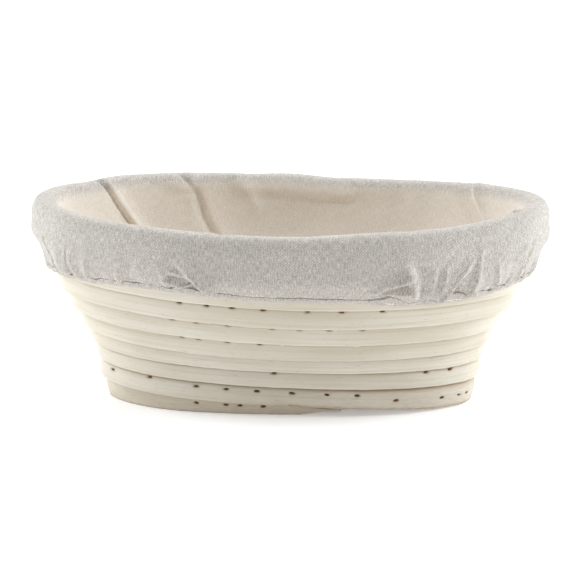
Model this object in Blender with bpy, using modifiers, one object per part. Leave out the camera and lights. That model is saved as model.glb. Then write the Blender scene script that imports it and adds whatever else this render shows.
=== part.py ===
"""An oval rattan banneton (proofing basket) with a linen liner that lifts out.

Metres, +Z up. The origin is the middle of the base's underside, +X runs along the basket.
The wall is one rising spiral of cane. A place along it is counted in turns: turn 0 is the middle of
the front (-Y), and the spiral runs over the left end (-X), the back and the right end.
"""

import math

import bmesh
import bpy
from mathutils import Matrix, Vector

MM = 0.001

# Basket, in millimetres: the outer face of the cane at the rim
RIM_HALF_LENGTH = 115.0
RIM_HALF_WIDTH = 71.0
RIM_HEIGHT = 87.0
END_RISE = 4.2  # the rim's ends stand this much higher than the middle of its sides

# Wall: how far its outer face lies inside the rim's outline, by height
BASE_INSET = 27.5
FLARE_START = 12.0
FLARE_END = 80.0
TUCK = 7.0  # how much further in the wall turns at the floor
TUCK_TOP = 12.0
TILT_SHARE = 0.5  # a cane leans by this share of the wall's slope
STEEPEST_SLOPE = 0.45  # the lowest turn, which is tucked in, leans no further than this allows
# Towards the floor the outline fills out at its corners and flattens along its sides
CORNER_FILL = 3.0
SIDE_FLAT = 3.0
SQUARED_TOP = 40.0

# Cane: its section as thickness (outwards) and height, both as shares of its height
CANE_SECTION = (
    (0.35, -0.34),
    (0.38, 0.04),
    (0.34, 0.37),
    (0.16, 0.50),
    (-0.22, 0.48),
    (-0.37, 0.02),
    (-0.22, -0.49),
    (0.18, -0.50),
)
CANE_FACE = 0.38
FOOT_ACROSS = 0.18  # the section's lowest corner
FOOT_CLEARANCE = 0.05
GAP = 0.35  # between neighbouring pieces

# Lower edge of each turn at the middle of the front. The lowest turn is cut off flat at the floor.
ROW_EDGES = (-7.0, 5.5, 14.5, 22.7, 29.6, 38.2, 47.0, 56.6, 65.2, 73.6, 81.8, 90.3, 98.8)
CLIMB_WIDTH = 0.6  # part of a turn, about the middle of the front, over which the cane climbs
CLIMB_SHARE = 0.67  # share of a turn's rise that it makes there
WALL_START = -0.042
START_TAPER = 0.045
THINNEST_START = 0.25  # share of the full height
POINTS_PER_TURN = 36
WALL_LENGTH_ENDS = (92, 197, 271, 369)  # where the four lengths of cane end, in points
JOINT_GAP = 0.0007  # in turns

# Base: a flat spiral about a straight middle
BASE_CENTRE_REACH = 47.0  # half the straight middle
BASE_PITCH = 7.38
BASE_CANE_HEIGHT = 6.3
BASE_EDGE_INSET = 41.5
BASE_TURNS = 4.4
BASE_ROUNDING = 1.5  # how late, from the middle outwards, the racetrack turns into an ellipse
BASE_POINTS_PER_TURN = 28
BASE_SECTION = ((0.5, -0.1), (0.3, 0.5), (-0.3, 0.5), (-0.5, -0.1), (-0.28, -0.5), (0.28, -0.5))

# Brads: an oblong head on a flat shank, driven in from outside
BRAD_HEAD_WIDTH = 2.2
BRAD_HEAD_DEPTH = 0.8
BRAD_SHANK_WIDTH = 1.1
BRAD_THICKNESS = 1.0
BRAD_LENGTH = 4.2
BRAD_POINT = 1.0
BRAD_SUNK = 0.7
BRAD_ROOM = 0.3
POCKET_PROUD = 3.0  # how far the cutter for a brad's hole stands out of the cane
# Each run of brads: name, turn of the cane they are in, share of its height, places along the turn
BRAD_RUNS = (
    ("brad_start", 0, 0.62, (0.071, 0.047, 0.036, 0.018)),
    ("brad_base", 1, 0.72, (0.165, 0.069, 0.045, 0.022, -0.004, -0.030, -0.053)),
    ("brad_base_right", 1, 0.5, (-0.085, -0.132, -0.158, -0.176)),
    ("brad_row_2", 1, 0.84, (0.112,)),
    ("brad_row_3", 2, 0.84, (0.009, -0.112, -0.141)),
    ("brad_row_5", 4, 0.84, (0.075, 0.062, 0.041, 0.018)),
    ("brad_row_6", 5, 0.84, (0.079, 0.061, 0.039, 0.009, -0.009, -0.029, -0.052)),
    ("brad_row_7", 6, 0.84, (0.070, 0.051, 0.034, 0.014, -0.014, -0.036, -0.064)),
)

# Liner
CLOTH = 0.8
BAG_CLEARANCE = 9.6  # from the wall's outer face to the middle of the cloth
BAG_FLOOR = 7.4
BAG_WALL_HEIGHTS = (79.0, 67.0, 55.0, 43.0, 31.0)
BAG_FILLET = 13.0
BAG_FILLET_STEPS = 4
BAG_FLOOR_SHARES = (0.62, 0.3, 0.0)  # rings of the bag's floor, as shares of the way out from its middle line
BAG_ANGLES = 48
SEAM_STEPS = 5  # a corner seam is this many of the bag's angle steps from the end's tip
SEAM_GAP = 0.0016  # in turns
END_PANEL_ROWS = 6  # the end walls reach down this many rings
END_PANEL_SHORT = (0.4, 0.5)  # how far their lower edge stays out and up from the centre panel's
SEAM_THREAD_ROOM = 0.3
# Section of the cuff, outwards and up from the rim's outline: over the rim, down, and into the hem
CUFF_SECTION = (
    (-9.3, 80.0), (-8.8, 84.6), (-6.9, 87.7), (-3.2, 88.8), (0.6, 87.9), (2.5, 84.6), (3.0, 79.0),
    (2.9, 73.5), (2.1, 68.0), (0.8, 64.5), (-0.3, 61.7), (-1.5, 61.0), (-2.4, 62.3), (-2.1, 64.0),
    (-1.6, 65.6),
)
CUFF_POINTS = 36
ELASTIC_CENTRE = (-0.95, 63.4)
ELASTIC_SIZE = (0.7, 2.2)
ELASTIC_LEAN = math.radians(21.5)
THREAD = 0.5
HEM_THREAD_AT = (2.2, 65.6)
RIM_THREAD_AT = (-10.7, 79.5)


def clear_scene():
    for thing in list(bpy.data.objects):
        bpy.data.objects.remove(thing, do_unlink=True)


def make_collection(name):
    group = bpy.data.collections.new(name)
    bpy.context.scene.collection.children.link(group)
    return group


def make_material(name, colour, roughness, metallic=0.0):
    material = bpy.data.materials.new(name)
    material.use_nodes = True
    shader = material.node_tree.nodes["Principled BSDF"]
    shader.inputs["Base Color"].default_value = (*colour, 1.0)
    shader.inputs["Roughness"].default_value = roughness
    shader.inputs["Metallic"].default_value = metallic
    return material


# The basket's shape


def smoothstep(share):
    share = min(max(share, 0.0), 1.0)
    return share * share * (3.0 - 2.0 * share)


def wall_inset(height):
    flare = BASE_INSET * (1.0 - smoothstep((height - FLARE_START) / (FLARE_END - FLARE_START)))
    return flare + TUCK * max(1.0 - height / TUCK_TOP, 0.0) ** 2


def wall_slope(height):
    """How far the wall leans out for each millimetre up."""
    return (wall_inset(height - 1.0) - wall_inset(height + 1.0)) / 2.0


def oval_point(turn, inset, height):
    """The point this far inside the rim's outline, and the outline's outward normal there."""
    angle = 2.0 * math.pi * turn
    x = -RIM_HALF_LENGTH * math.sin(angle)
    y = -RIM_HALF_WIDTH * math.cos(angle)
    outward = Vector((x / RIM_HALF_LENGTH**2, y / RIM_HALF_WIDTH**2, 0.0)).normalized()
    squared = CORNER_FILL * math.sin(2.0 * angle) ** 2 - SIDE_FLAT * math.cos(angle) ** 4
    push = squared * (1.0 - smoothstep(height / SQUARED_TOP))
    point = Vector((x, y, height)) - outward * (inset - push)
    point.z += END_RISE * (point.x / RIM_HALF_LENGTH) ** 2 * height / RIM_HEIGHT
    return point, outward


def climb(fraction):
    """Share of a turn's rise that the cane has made, from the middle of the front."""
    steep = 0.5
    for centre, made in ((0.0, 0.0), (1.0, 1.0)):
        offset = fraction - centre
        if abs(offset) < CLIMB_WIDTH / 2.0:
            share = offset / CLIMB_WIDTH
            steep = made + share + math.sin(2.0 * math.pi * share) / (2.0 * math.pi)
    return (1.0 - CLIMB_SHARE) * fraction + CLIMB_SHARE * steep


def row_edge(turn):
    """Height of the wall cane's lower edge at this turn."""
    row = math.floor(turn)
    if row < 0:
        return ROW_EDGES[0]
    return ROW_EDGES[row] + (ROW_EDGES[row + 1] - ROW_EDGES[row]) * climb(turn - row)


def cane_frame(turn):
    """Centre, outward direction, upward direction and height of the wall cane's section."""
    low = max(row_edge(turn), 0.0)
    high = min(row_edge(turn + 1.0), RIM_HEIGHT)
    middle = (low + high) / 2.0
    slope = min(wall_slope(middle), STEEPEST_SLOPE)
    tilt = TILT_SHARE * math.atan(slope)
    height = (high - low) * (math.cos(tilt) + slope * math.sin(tilt)) - GAP
    height *= max(smoothstep((turn - WALL_START) / START_TAPER), THINNEST_START)
    centre, outward = oval_point(turn, wall_inset(middle) + CANE_FACE * height, middle)
    reach_down = height * (0.5 * math.cos(tilt) + FOOT_ACROSS * math.sin(tilt))
    centre.z = max(centre.z, reach_down + FOOT_CLEARANCE)
    up = Vector((0.0, 0.0, 1.0))
    face = outward * math.cos(tilt) - up * math.sin(tilt)
    rise = outward * math.sin(tilt) + up * math.cos(tilt)
    return centre, face, rise, height, tilt


# Curves and meshes


def curve_object(name, points, cyclic, group, dimensions="3D"):
    """A curve of straight steps. Each point is (position in mm, radius, tilt)."""
    data = bpy.data.curves.new(name, "CURVE")
    data.dimensions = dimensions
    spline = data.splines.new("POLY")
    spline.points.add(len(points) - 1)
    for place, (point, radius, tilt) in zip(spline.points, points):
        place.co = (*(Vector(point) * MM), 1.0)
        place.radius = radius
        place.tilt = tilt
    spline.use_cyclic_u = cyclic
    shape = bpy.data.objects.new(name, data)
    group.objects.link(shape)
    return shape


def section_curve(name, outline, guides):
    """A closed outline, outwards and up in millimetres, for a path that runs clockwise seen from above."""
    points = [((-across, up, 0.0), 1.0, 0.0) for across, up in outline]
    shape = curve_object(name, points, True, guides, "2D")
    shape.data.fill_mode = "NONE"
    shape.hide_render = True
    shape.display_type = "WIRE"
    return shape


def sweep(name, path, section, cyclic, group):
    """The section carried along the path, upright."""
    shape = curve_object(name, path, cyclic, group)
    shape.data.twist_mode = "Z_UP"
    shape.data.bevel_mode = "OBJECT"
    shape.data.bevel_object = section
    shape.data.use_fill_caps = not cyclic
    return shape


def as_mesh(shape, group):
    """The curve made a mesh with its caps welded and its faces pointing out."""
    bpy.context.view_layer.update()
    graph = bpy.context.evaluated_depsgraph_get()
    mesh = bpy.data.meshes.new_from_object(shape.evaluated_get(graph))
    name = shape.name
    matrix = shape.matrix_world.copy()
    bpy.data.objects.remove(shape, do_unlink=True)
    solid = bpy.data.objects.new(name, mesh)
    solid.matrix_world = matrix
    group.objects.link(solid)
    work = bmesh.new()
    work.from_mesh(mesh)
    bmesh.ops.remove_doubles(work, verts=work.verts, dist=0.01 * MM)
    bmesh.ops.recalc_face_normals(work, faces=work.faces)
    work.to_mesh(mesh)
    work.free()
    return solid


def finish(shape, material, body):
    if shape.type == "MESH":
        shape.data.shade_smooth()
        shape.data.set_sharp_from_angle(angle=math.radians(40.0))
    shape.data.materials.clear()
    shape.data.materials.append(material)
    shape.parent = body
    return shape


def offset_outline(line, half):
    """Both sides of an open line, as one closed outline."""
    sides = ([], [])
    for index, point in enumerate(line):
        before = Vector(line[max(index - 1, 0)])
        after = Vector(line[min(index + 1, len(line) - 1)])
        here = Vector(point)
        first = (here - before).normalized() if index else (after - here).normalized()
        second = (after - here).normalized() if index < len(line) - 1 else first
        along = (first + second).normalized()
        side = Vector((-along.y, along.x)) * half / max(along.dot(first), 0.5)
        sides[0].append(tuple(here + side))
        sides[1].append(tuple(here - side))
    return sides[0] + sides[1][::-1]


# Basket pieces


def wall_length(name, first, last, section, parts):
    """One length of the wall's cane, from turn first to turn last."""
    start = math.floor(first * POINTS_PER_TURN + 0.5) + 1
    end = round(last * POINTS_PER_TURN)
    path = []
    for turn in [first, *[index / POINTS_PER_TURN for index in range(start, end + 1)]]:
        centre, _, _, height, tilt = cane_frame(turn)
        path.append((centre, height, -tilt))
    return as_mesh(sweep(name, path, section, False, parts), parts)


def racetrack(reach, angle):
    """A point of the racetrack that runs this far from the base's middle line."""
    corner = math.pi / 3.0
    turned = math.remainder(angle, 2.0 * math.pi)
    side = abs(turned)
    if side <= corner:
        bend = side / corner * math.pi / 2.0
        x, y = BASE_CENTRE_REACH + reach * math.cos(bend), reach * math.sin(bend)
    elif side >= math.pi - corner:
        bend = (math.pi - side) / corner * math.pi / 2.0
        x, y = -BASE_CENTRE_REACH - reach * math.cos(bend), reach * math.sin(bend)
    else:
        x = BASE_CENTRE_REACH * (1.0 - 2.0 * (side - corner) / (math.pi - 2.0 * corner))
        y = reach
    return Vector((x, math.copysign(y, turned), 0.0))


def base_point(reach, angle):
    """Near the middle a racetrack, at the edge an ellipse like the wall's."""
    edge = RIM_HALF_WIDTH - BASE_EDGE_INSET
    long_axis = BASE_CENTRE_REACH + reach
    ellipse = Vector((long_axis * math.cos(angle), reach * math.sin(angle), 0.0))
    return racetrack(reach, angle).lerp(ellipse, min(reach / edge, 1.0) ** BASE_ROUNDING)


def base_cane(section, parts):
    """The flat spiral, which tapers away over its last turn along the wall."""
    probe = 0.05
    edge = RIM_HALF_WIDTH - BASE_EDGE_INSET
    path = []
    for index in range(round(BASE_TURNS * BASE_POINTS_PER_TURN) + 1):
        turn = index / BASE_POINTS_PER_TURN
        angle = -2.0 * math.pi * turn
        inner = max((turn - 0.5) * BASE_PITCH, -0.5 * BASE_PITCH)
        outer = min((turn + 0.5) * BASE_PITCH, edge)
        reach = max((inner + outer) / 2.0, 0.0)
        here = base_point(reach, angle)
        ahead = base_point(reach, angle + probe) - base_point(reach, angle - probe)
        across = Vector((ahead.y, -ahead.x, 0.0)).normalized()
        spread = (base_point(reach + probe, angle) - here).dot(across) / probe
        width = (outer - inner) / BASE_PITCH * min(abs(spread), 1.0)
        here.z = width * BASE_CANE_HEIGHT / 2.0
        path.append((here, width, 0.0))
    return as_mesh(sweep("base_cane", path, section, False, parts), parts)


def brad_matrix(turn, share):
    """Places a brad: local X along the cane, Y outwards and Z up, from an origin on the cane's face."""
    centre, face, rise, height, _ = cane_frame(turn)
    along = face.cross(rise)
    place = centre + rise * (share - 0.5) * height + face * CANE_FACE * height
    axes = Matrix((along, face, rise)).transposed().to_4x4()
    return Matrix.Translation(place * MM) @ axes


def brad_outline():
    head, shank = BRAD_HEAD_WIDTH / 2.0, BRAD_SHANK_WIDTH / 2.0
    top = -BRAD_SUNK
    neck = top - BRAD_HEAD_DEPTH
    tip = top - BRAD_LENGTH
    return (
        (-head, top), (-head, neck), (-shank, neck), (-shank, tip + BRAD_POINT), (0.0, tip),
        (shank, tip + BRAD_POINT), (shank, neck), (head, neck), (head, top),
    )


def make_brad(name, matrix, parts):
    points = [((x, y, 0.0), 1.0, 0.0) for x, y in brad_outline()]
    shape = curve_object(name, points, True, parts, "2D")
    shape.data.fill_mode = "BOTH"
    shape.data.extrude = BRAD_THICKNESS / 2.0 * MM
    shape.matrix_world = matrix
    return as_mesh(shape, parts)


def brad_pocket(name, matrix, cutters):
    """The cutter for a brad's hole, open at the cane's face."""
    depth = BRAD_SUNK + BRAD_LENGTH + BRAD_ROOM
    bpy.ops.mesh.primitive_cube_add(size=1.0)
    cutter = bpy.context.active_object
    cutter.name = name
    for owner in list(cutter.users_collection):
        owner.objects.unlink(cutter)
    cutters.objects.link(cutter)
    size = Vector((BRAD_HEAD_WIDTH + 2.0 * BRAD_ROOM, depth + POCKET_PROUD, BRAD_THICKNESS + 2.0 * BRAD_ROOM))
    middle = Vector((0.0, (POCKET_PROUD - depth) / 2.0, 0.0))
    cutter.data.transform(Matrix.LocRotScale(middle * MM, None, size * MM))
    cutter.matrix_world = matrix
    cutter.hide_render = True
    cutter.display_type = "WIRE"
    return cutter


def cut_pockets(length, pockets):
    for pocket in pockets:
        cut = length.modifiers.new(pocket.name, "BOOLEAN")
        cut.operation = "DIFFERENCE"
        cut.solver = "EXACT"
        cut.object = pocket


# Liner pieces


def bag_rings():
    """Each ring of the bag as (inset, height, share of the way out from the middle line), from the top down.

    The wall's rings run down inside the wall and round the corner; the floor's close up on its middle line.
    """
    rings = [(wall_inset(height) + BAG_CLEARANCE, height, 1.0) for height in BAG_WALL_HEIGHTS]
    corner_top = BAG_FLOOR + BAG_FILLET
    corner_inset = wall_inset(corner_top) + BAG_CLEARANCE
    for step in range(BAG_FILLET_STEPS + 1):
        bend = step / BAG_FILLET_STEPS * math.pi / 2.0
        inset = corner_inset + BAG_FILLET * (1.0 - math.cos(bend))
        rings.append((inset, corner_top - BAG_FILLET * math.sin(bend), 1.0))
    rings += [(corner_inset + BAG_FILLET, BAG_FLOOR, share) for share in BAG_FLOOR_SHARES]
    return rings


def bag_point(ring, turn):
    inset, height, share = ring
    edge, _ = oval_point(turn, inset, height)
    middle_reach = (RIM_HALF_LENGTH - RIM_HALF_WIDTH) / (RIM_HALF_LENGTH - BAG_CLEARANCE)
    return Vector((edge.x * middle_reach, 0.0, edge.z)).lerp(edge, share)


def cloth_panel(name, rings, turns, kept, parts):
    """A grid laid over the bag's rings, as cloth. kept says which of its squares, by column and row, stay."""
    columns, rows = len(turns) - 1, len(rings) - 1
    mesh = bpy.data.meshes.new(name)
    work = bmesh.new()
    bmesh.ops.create_grid(work, x_segments=columns, y_segments=rows, size=1.0)
    spare = []
    for face in work.faces:
        middle = (face.calc_center_median() + Vector((1.0, 1.0, 0.0))) / 2.0
        if not kept(math.floor(middle.x * columns), math.floor(middle.y * rows)):
            spare.append(face)
    for vert in work.verts:
        column = round((vert.co.x + 1.0) / 2.0 * columns)
        row = round((vert.co.y + 1.0) / 2.0 * rows)
        vert.co = bag_point(rings[row], turns[column]) * MM
    bmesh.ops.delete(work, geom=spare, context="FACES")
    bmesh.ops.remove_doubles(work, verts=work.verts, dist=0.05 * MM)
    bmesh.ops.recalc_face_normals(work, faces=work.faces)
    work.to_mesh(mesh)
    work.free()
    panel = bpy.data.objects.new(name, mesh)
    parts.objects.link(panel)
    skin = panel.modifiers.new("cloth", "SOLIDIFY")
    skin.thickness = CLOTH * MM
    skin.offset = 0.0
    return panel


def centre_panel(parts):
    """The bottom with the front and back walls: the whole bag less its two end walls."""
    quarter = BAG_ANGLES // 4

    def kept(column, row):
        from_tip = abs(column + 0.5 - quarter * (1 if column < 2 * quarter else 3))
        return row >= END_PANEL_ROWS or from_tip > SEAM_STEPS

    turns = [index / BAG_ANGLES for index in range(BAG_ANGLES + 1)]
    return cloth_panel("liner_centre_panel", bag_rings(), turns, kept, parts)


def end_panel(name, tip_turn, parts):
    """An end wall, a little smaller than the opening that it is sewn into."""
    rings = bag_rings()[: END_PANEL_ROWS + 1]
    inset, height, share = rings[-1]
    rings[-1] = (inset - END_PANEL_SHORT[0], height + END_PANEL_SHORT[1], share)
    spread = SEAM_STEPS / BAG_ANGLES - SEAM_GAP
    count = 2 * SEAM_STEPS
    turns = [tip_turn + spread * (2.0 * index / count - 1.0) for index in range(count + 1)]
    return cloth_panel(name, rings, turns, lambda column, row: True, parts)


def ring_path(points):
    path = []
    for index in range(points):
        point, _ = oval_point(index / points, 0.0, RIM_HEIGHT)
        path.append(((point.x, point.y, point.z - RIM_HEIGHT), 1.0, 0.0))
    return path


def thread_outline(centre):
    sides = 4
    return [
        (
            centre[0] + THREAD / 2.0 * math.cos(2.0 * math.pi * side / sides),
            centre[1] + THREAD / 2.0 * math.sin(2.0 * math.pi * side / sides),
        )
        for side in range(sides)
    ]


def elastic_outline():
    thick, high = ELASTIC_SIZE[0] / 2.0, ELASTIC_SIZE[1] / 2.0
    corners = ((thick, -high), (thick, high), (-thick, high), (-thick, -high))
    cos, sin = math.cos(ELASTIC_LEAN), math.sin(ELASTIC_LEAN)
    return [
        (ELASTIC_CENTRE[0] + across * cos + up * sin, ELASTIC_CENTRE[1] - across * sin + up * cos)
        for across, up in corners
    ]


def seam_thread(name, turn, parts):
    """The corner seam's thread, on the inside of the bag."""
    inside = CLOTH / 2.0 + THREAD / 2.0 + SEAM_THREAD_ROOM
    path = []
    for inset, height, _ in bag_rings()[: END_PANEL_ROWS + 1]:
        point, _ = oval_point(turn, inset + inside, height)
        path.append((point, 1.0, 0.0))
    shape = curve_object(name, path, False, parts)
    shape.data.bevel_depth = THREAD / 2.0 * MM
    shape.data.bevel_resolution = 1
    shape.data.use_fill_caps = True
    return as_mesh(shape, parts)


def build_basket(parts, cutters, guides, body):
    rattan = make_material("rattan", (0.80, 0.66, 0.46), 0.55)
    steel = make_material("brad_steel", (0.10, 0.08, 0.06), 0.5, 0.8)
    cane_section = section_curve("cane_section", CANE_SECTION, guides)
    base_outline = []
    for across, up in BASE_SECTION:
        base_outline.append((across * BASE_PITCH - math.copysign(GAP / 2.0, across), up * BASE_CANE_HEIGHT))
    base_section = section_curve("base_section", base_outline, guides)
    finish(base_cane(base_section, parts), rattan, body)
    ends = [point / POINTS_PER_TURN for point in WALL_LENGTH_ENDS]
    starts = (WALL_START, *[end + JOINT_GAP for end in ends[:-1]])
    lengths = []
    for index, (first, last) in enumerate(zip(starts, ends)):
        lengths.append((first, last, wall_length(f"wall_cane_{index + 1}", first, last, cane_section, parts)))
    pockets = {length.name: [] for _, _, length in lengths}
    for run, row, share, places in BRAD_RUNS:
        for index, place in enumerate(places):
            turn = row + place
            name = f"{run}_{index + 1}"
            matrix = brad_matrix(turn, share)
            finish(make_brad(name, matrix, parts), steel, body)
            owner = next(length for first, last, length in lengths if first < turn < last)
            pockets[owner.name].append(brad_pocket(name + "_pocket", matrix, cutters))
    for _, _, length in lengths:
        cut_pockets(length, pockets[length.name])
        finish(length, rattan, body)


def build_liner(parts, guides, body):
    linen = make_material("linen", (0.70, 0.63, 0.53), 0.9)
    rubber = make_material("elastic", (0.85, 0.83, 0.78), 0.8)
    thread = make_material("thread", (0.78, 0.72, 0.62), 0.8)
    finish(centre_panel(parts), linen, body)
    for side, tip in (("left", 0.25), ("right", 0.75)):
        finish(end_panel(f"liner_end_panel_{side}", tip, parts), linen, body)
        outwards = 1.0 if side == "left" else -1.0
        for place, step in (("front", -SEAM_STEPS), ("back", SEAM_STEPS)):
            turn = tip + outwards * step / BAG_ANGLES
            finish(seam_thread(f"seam_thread_{side}_{place}", turn, parts), thread, body)
    cuff_section = section_curve("cuff_section", offset_outline(CUFF_SECTION, CLOTH / 2.0), guides)
    elastic_section = section_curve("elastic_section", elastic_outline(), guides)
    hem_section = section_curve("hem_thread_section", thread_outline(HEM_THREAD_AT), guides)
    rim_section = section_curve("rim_thread_section", thread_outline(RIM_THREAD_AT), guides)
    for name, section, material in (
        ("liner_cuff", cuff_section, linen),
        ("elastic_band", elastic_section, rubber),
        ("hem_thread", hem_section, thread),
        ("rim_seam_thread", rim_section, thread),
    ):
        finish(as_mesh(sweep(name, ring_path(CUFF_POINTS), section, True, parts), parts), material, body)


def main():
    clear_scene()
    parts = make_collection("banneton_basket")
    cutters = make_collection("cutters")
    guides = make_collection("guides")
    bodies = []
    for name in ("basket", "liner"):
        body = bpy.data.objects.new(name, None)
        parts.objects.link(body)
        bodies.append(body)
    build_basket(parts, cutters, guides, bodies[0])
    build_liner(parts, guides, bodies[1])


main()
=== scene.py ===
"""The looks of the oval rattan proofing basket and its linen liner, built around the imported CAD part.

The formulas for the wall's spiral repeat part.py's, so that every piece lies where its CAD node does, but the
canes are up to a millimetre taller, so that they touch where the wall slopes most and at its ends.
Lengths in the shape formulas are millimetres, and the meshes are metres. Places round the oval are turns:
0 is the middle of the front (-Y), 0.25 the left end (-X), 0.5 the back and 0.75 the right end.
"""

import math
from types import SimpleNamespace

import bmesh
import bpy
import numpy as np
from mathutils import Matrix, Vector


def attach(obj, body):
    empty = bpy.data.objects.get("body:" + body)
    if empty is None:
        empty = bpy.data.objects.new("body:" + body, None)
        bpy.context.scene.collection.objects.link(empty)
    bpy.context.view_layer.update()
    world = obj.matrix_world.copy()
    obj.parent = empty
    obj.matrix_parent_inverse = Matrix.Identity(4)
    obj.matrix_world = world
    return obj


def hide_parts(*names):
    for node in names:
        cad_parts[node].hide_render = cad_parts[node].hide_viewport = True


MM = 0.001

# The basket's shape, as in part.py
RIM_HALF_LENGTH = 115.0
RIM_HALF_WIDTH = 71.0
RIM_HEIGHT = 87.0
END_RISE = 4.2
BASE_INSET = 27.5
FLARE_START = 12.0
FLARE_END = 80.0
TUCK = 7.0
TUCK_TOP = 12.0
TILT_SHARE = 0.5
STEEPEST_SLOPE = 0.45
CORNER_FILL = 3.0
SIDE_FLAT = 3.0
SQUARED_TOP = 40.0
CANE_FACE = 0.38
FOOT_ACROSS = 0.18
FOOT_CLEARANCE = 0.05
ROW_EDGES = (-7.0, 5.5, 14.5, 22.7, 29.6, 38.2, 47.0, 56.6, 65.2, 73.6, 81.8, 90.3, 98.8)
CLIMB_WIDTH = 0.6
CLIMB_SHARE = 0.67
WALL_START = -0.042
START_TAPER = 0.045
THINNEST_START = 0.25
WALL_ENDS = (92 / 36, 197 / 36, 271 / 36, 369 / 36)
JOINT_GAP = 0.0007
BASE_CENTRE_REACH = 47.0
BASE_PITCH = 7.38
BASE_CANE_HEIGHT = 6.3
BASE_EDGE_INSET = 41.5
BASE_TURNS = 4.4
BASE_ROUNDING = 1.5
BRAD_RUNS = (
    (0, 0.62, (0.071, 0.047, 0.036, 0.018)),
    (1, 0.72, (0.165, 0.069, 0.045, 0.022, -0.004, -0.030, -0.053)),
    (1, 0.5, (-0.085, -0.132, -0.158, -0.176)),
    (1, 0.84, (0.112,)),
    (2, 0.84, (0.009, -0.112, -0.141)),
    (4, 0.84, (0.075, 0.062, 0.041, 0.018)),
    (5, 0.84, (0.079, 0.061, 0.039, 0.009, -0.009, -0.029, -0.052)),
    (6, 0.84, (0.070, 0.051, 0.034, 0.014, -0.014, -0.036, -0.064)),
)

# Canes
CANE_GAP = 0.03  # tighter than the CAD's 0.12, so that no light shows between the canes
CANE_STEP = 1.6  # between rings
TOP_END_WIDTH = 6.5  # the last cane thins to a strip this wide at its top end
TOP_END_START = 9.7  # in turns
# Section, outwards and up as shares of the cane's height: rounded above, with a crisp lower edge outside
CANE_SECTION = (
    (0.30, -0.497), (0.352, -0.488), (0.383, -0.462), (0.394, -0.42), (0.402, -0.30), (0.407, -0.15),
    (0.405, 0.0), (0.392, 0.14), (0.365, 0.27), (0.322, 0.375), (0.25, 0.462), (0.15, 0.497), (-0.05, 0.50),
    (-0.26, 0.45), (-0.37, 0.20), (-0.38, -0.10), (-0.375, -0.37), (-0.31, -0.475), (-0.15, -0.505),
    (0.10, -0.505),
)
SECTION_POINTS = 52
OUTER_EMPHASIS = 3.0  # how much closer the section's points are on its outer side
CANE_TEXTURE_SHIFT = 500.0  # between the canes, in millimetres for each turn of their starts
WALL_TEXTURE_HEIGHT = 8.6
BASE_TEXTURE_HEIGHT = 7.0
# A cane's unevenness
CANE_BULGE = 0.03  # as a share of its thickness
CANE_SWAY = 0.10
CANE_LEAN = math.radians(1.2)
CANE_RAGGED = 0.07  # at its lower edge
BASE_SECTION = (
    (0.46, -0.22), (0.50, 0.0), (0.42, 0.30), (0.25, 0.46), (0.0, 0.50), (-0.25, 0.46), (-0.42, 0.30),
    (-0.50, 0.0), (-0.46, -0.22), (-0.28, -0.46), (0.0, -0.50), (0.28, -0.46),
)
BASE_STEPS = 150  # a turn
BASE_STAIN = 0.12
# Faint ridges along a cane's face: place up the section, width and depth
FACE_RIDGES = ((0.22, 0.05, -0.05), (-0.05, 0.07, 0.04), (-0.24, 0.05, -0.04))
RIDGE_WANDER = 0.05
# Splinters at a cane's lower edge: turn along the spiral, half-length and how far they hang
SPLINTERS = ((5.002, 1.1, 0.55), (4.951, 1.7, 0.50), (3.976, 0.8, 0.40), (4.070, 1.2, 0.50))
MARK = (0.994, 2.6)  # a reddish mark at a lower edge: turn along the spiral and half-length

# Brads
BRAD_HALF = (1.20, 0.58, 0.42)  # along the cane, up and outwards
DENT_HALF = (1.35, 0.62)
DENT_DEPTH = 0.34
# More brads on the sides and back: rows with their share of the cane's height, and the middles of their runs
EXTRA_ROWS = ((1, 0.72), (2, 0.84), (4, 0.84), (5, 0.84), (6, 0.84))
EXTRA_MIDDLES = (0.33, 0.50, 0.67)
EXTRA_PITCH = 0.024

# Liner
BAG_CLEARANCE = 9.6
BAG_FLOOR = 7.4
BAG_FILLET = 13.0
CLOTH = 0.45
CLOTH_COLUMNS = 960
# How close the bag may come to the wall's outline: clear of upright canes, and more by the wall's slope
CANE_INSIDE = 7.3
CANE_INSIDE_TILTED = 3.3
# The crease above the hem and the hem's lower edge, as (turn, height)
CREASE_LINE = (
    (-0.5, 61.5), (-0.42, 62.4), (-0.33, 61.0), (-0.25, 60.0), (-0.19, 59.6), (-0.171, 59.4),
    (-0.145, 58.8), (-0.126, 58.2), (-0.116, 60.0), (-0.109, 59.7), (-0.1, 57.4), (-0.092, 58.6),
    (-0.0856, 58.6), (-0.0793, 57.9), (-0.071, 60.2), (-0.0639, 62.0), (-0.0582, 60.9), (-0.0538, 60.4),
    (-0.0397, 61.2), (-0.0274, 61.7), (-0.0092, 62.3), (0.0088, 62.5), (0.027, 63.0), (0.0393, 63.7),
    (0.0513, 64.3), (0.0569, 65.2), (0.0642, 64.9), (0.0745, 64.9), (0.0895, 65.1), (0.1053, 64.6),
    (0.119, 64.4), (0.1349, 63.5), (0.1509, 62.9), (0.1787, 62.3), (0.2, 61.6), (0.25, 60.6), (0.33, 61.6),
    (0.42, 60.8), (0.5, 61.5),
)
HEM_LINE = (
    (-0.5, 58.6), (-0.42, 59.4), (-0.33, 58.2), (-0.25, 57.4), (-0.184, 57.4), (-0.156, 56.4),
    (-0.131, 55.5), (-0.1044, 55.6), (-0.0805, 56.1), (-0.0651, 56.8), (-0.0542, 58.1), (-0.04, 59.2),
    (-0.0092, 60.0), (0.0089, 60.2), (0.0273, 60.7), (0.0525, 61.5), (0.0616, 62.2), (0.0752, 62.4),
    (0.0904, 62.6), (0.1065, 62.1), (0.1296, 61.2), (0.1538, 60.2), (0.185, 59.4), (0.25, 58.0),
    (0.33, 58.6), (0.42, 57.9), (0.5, 58.6),
)
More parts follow.
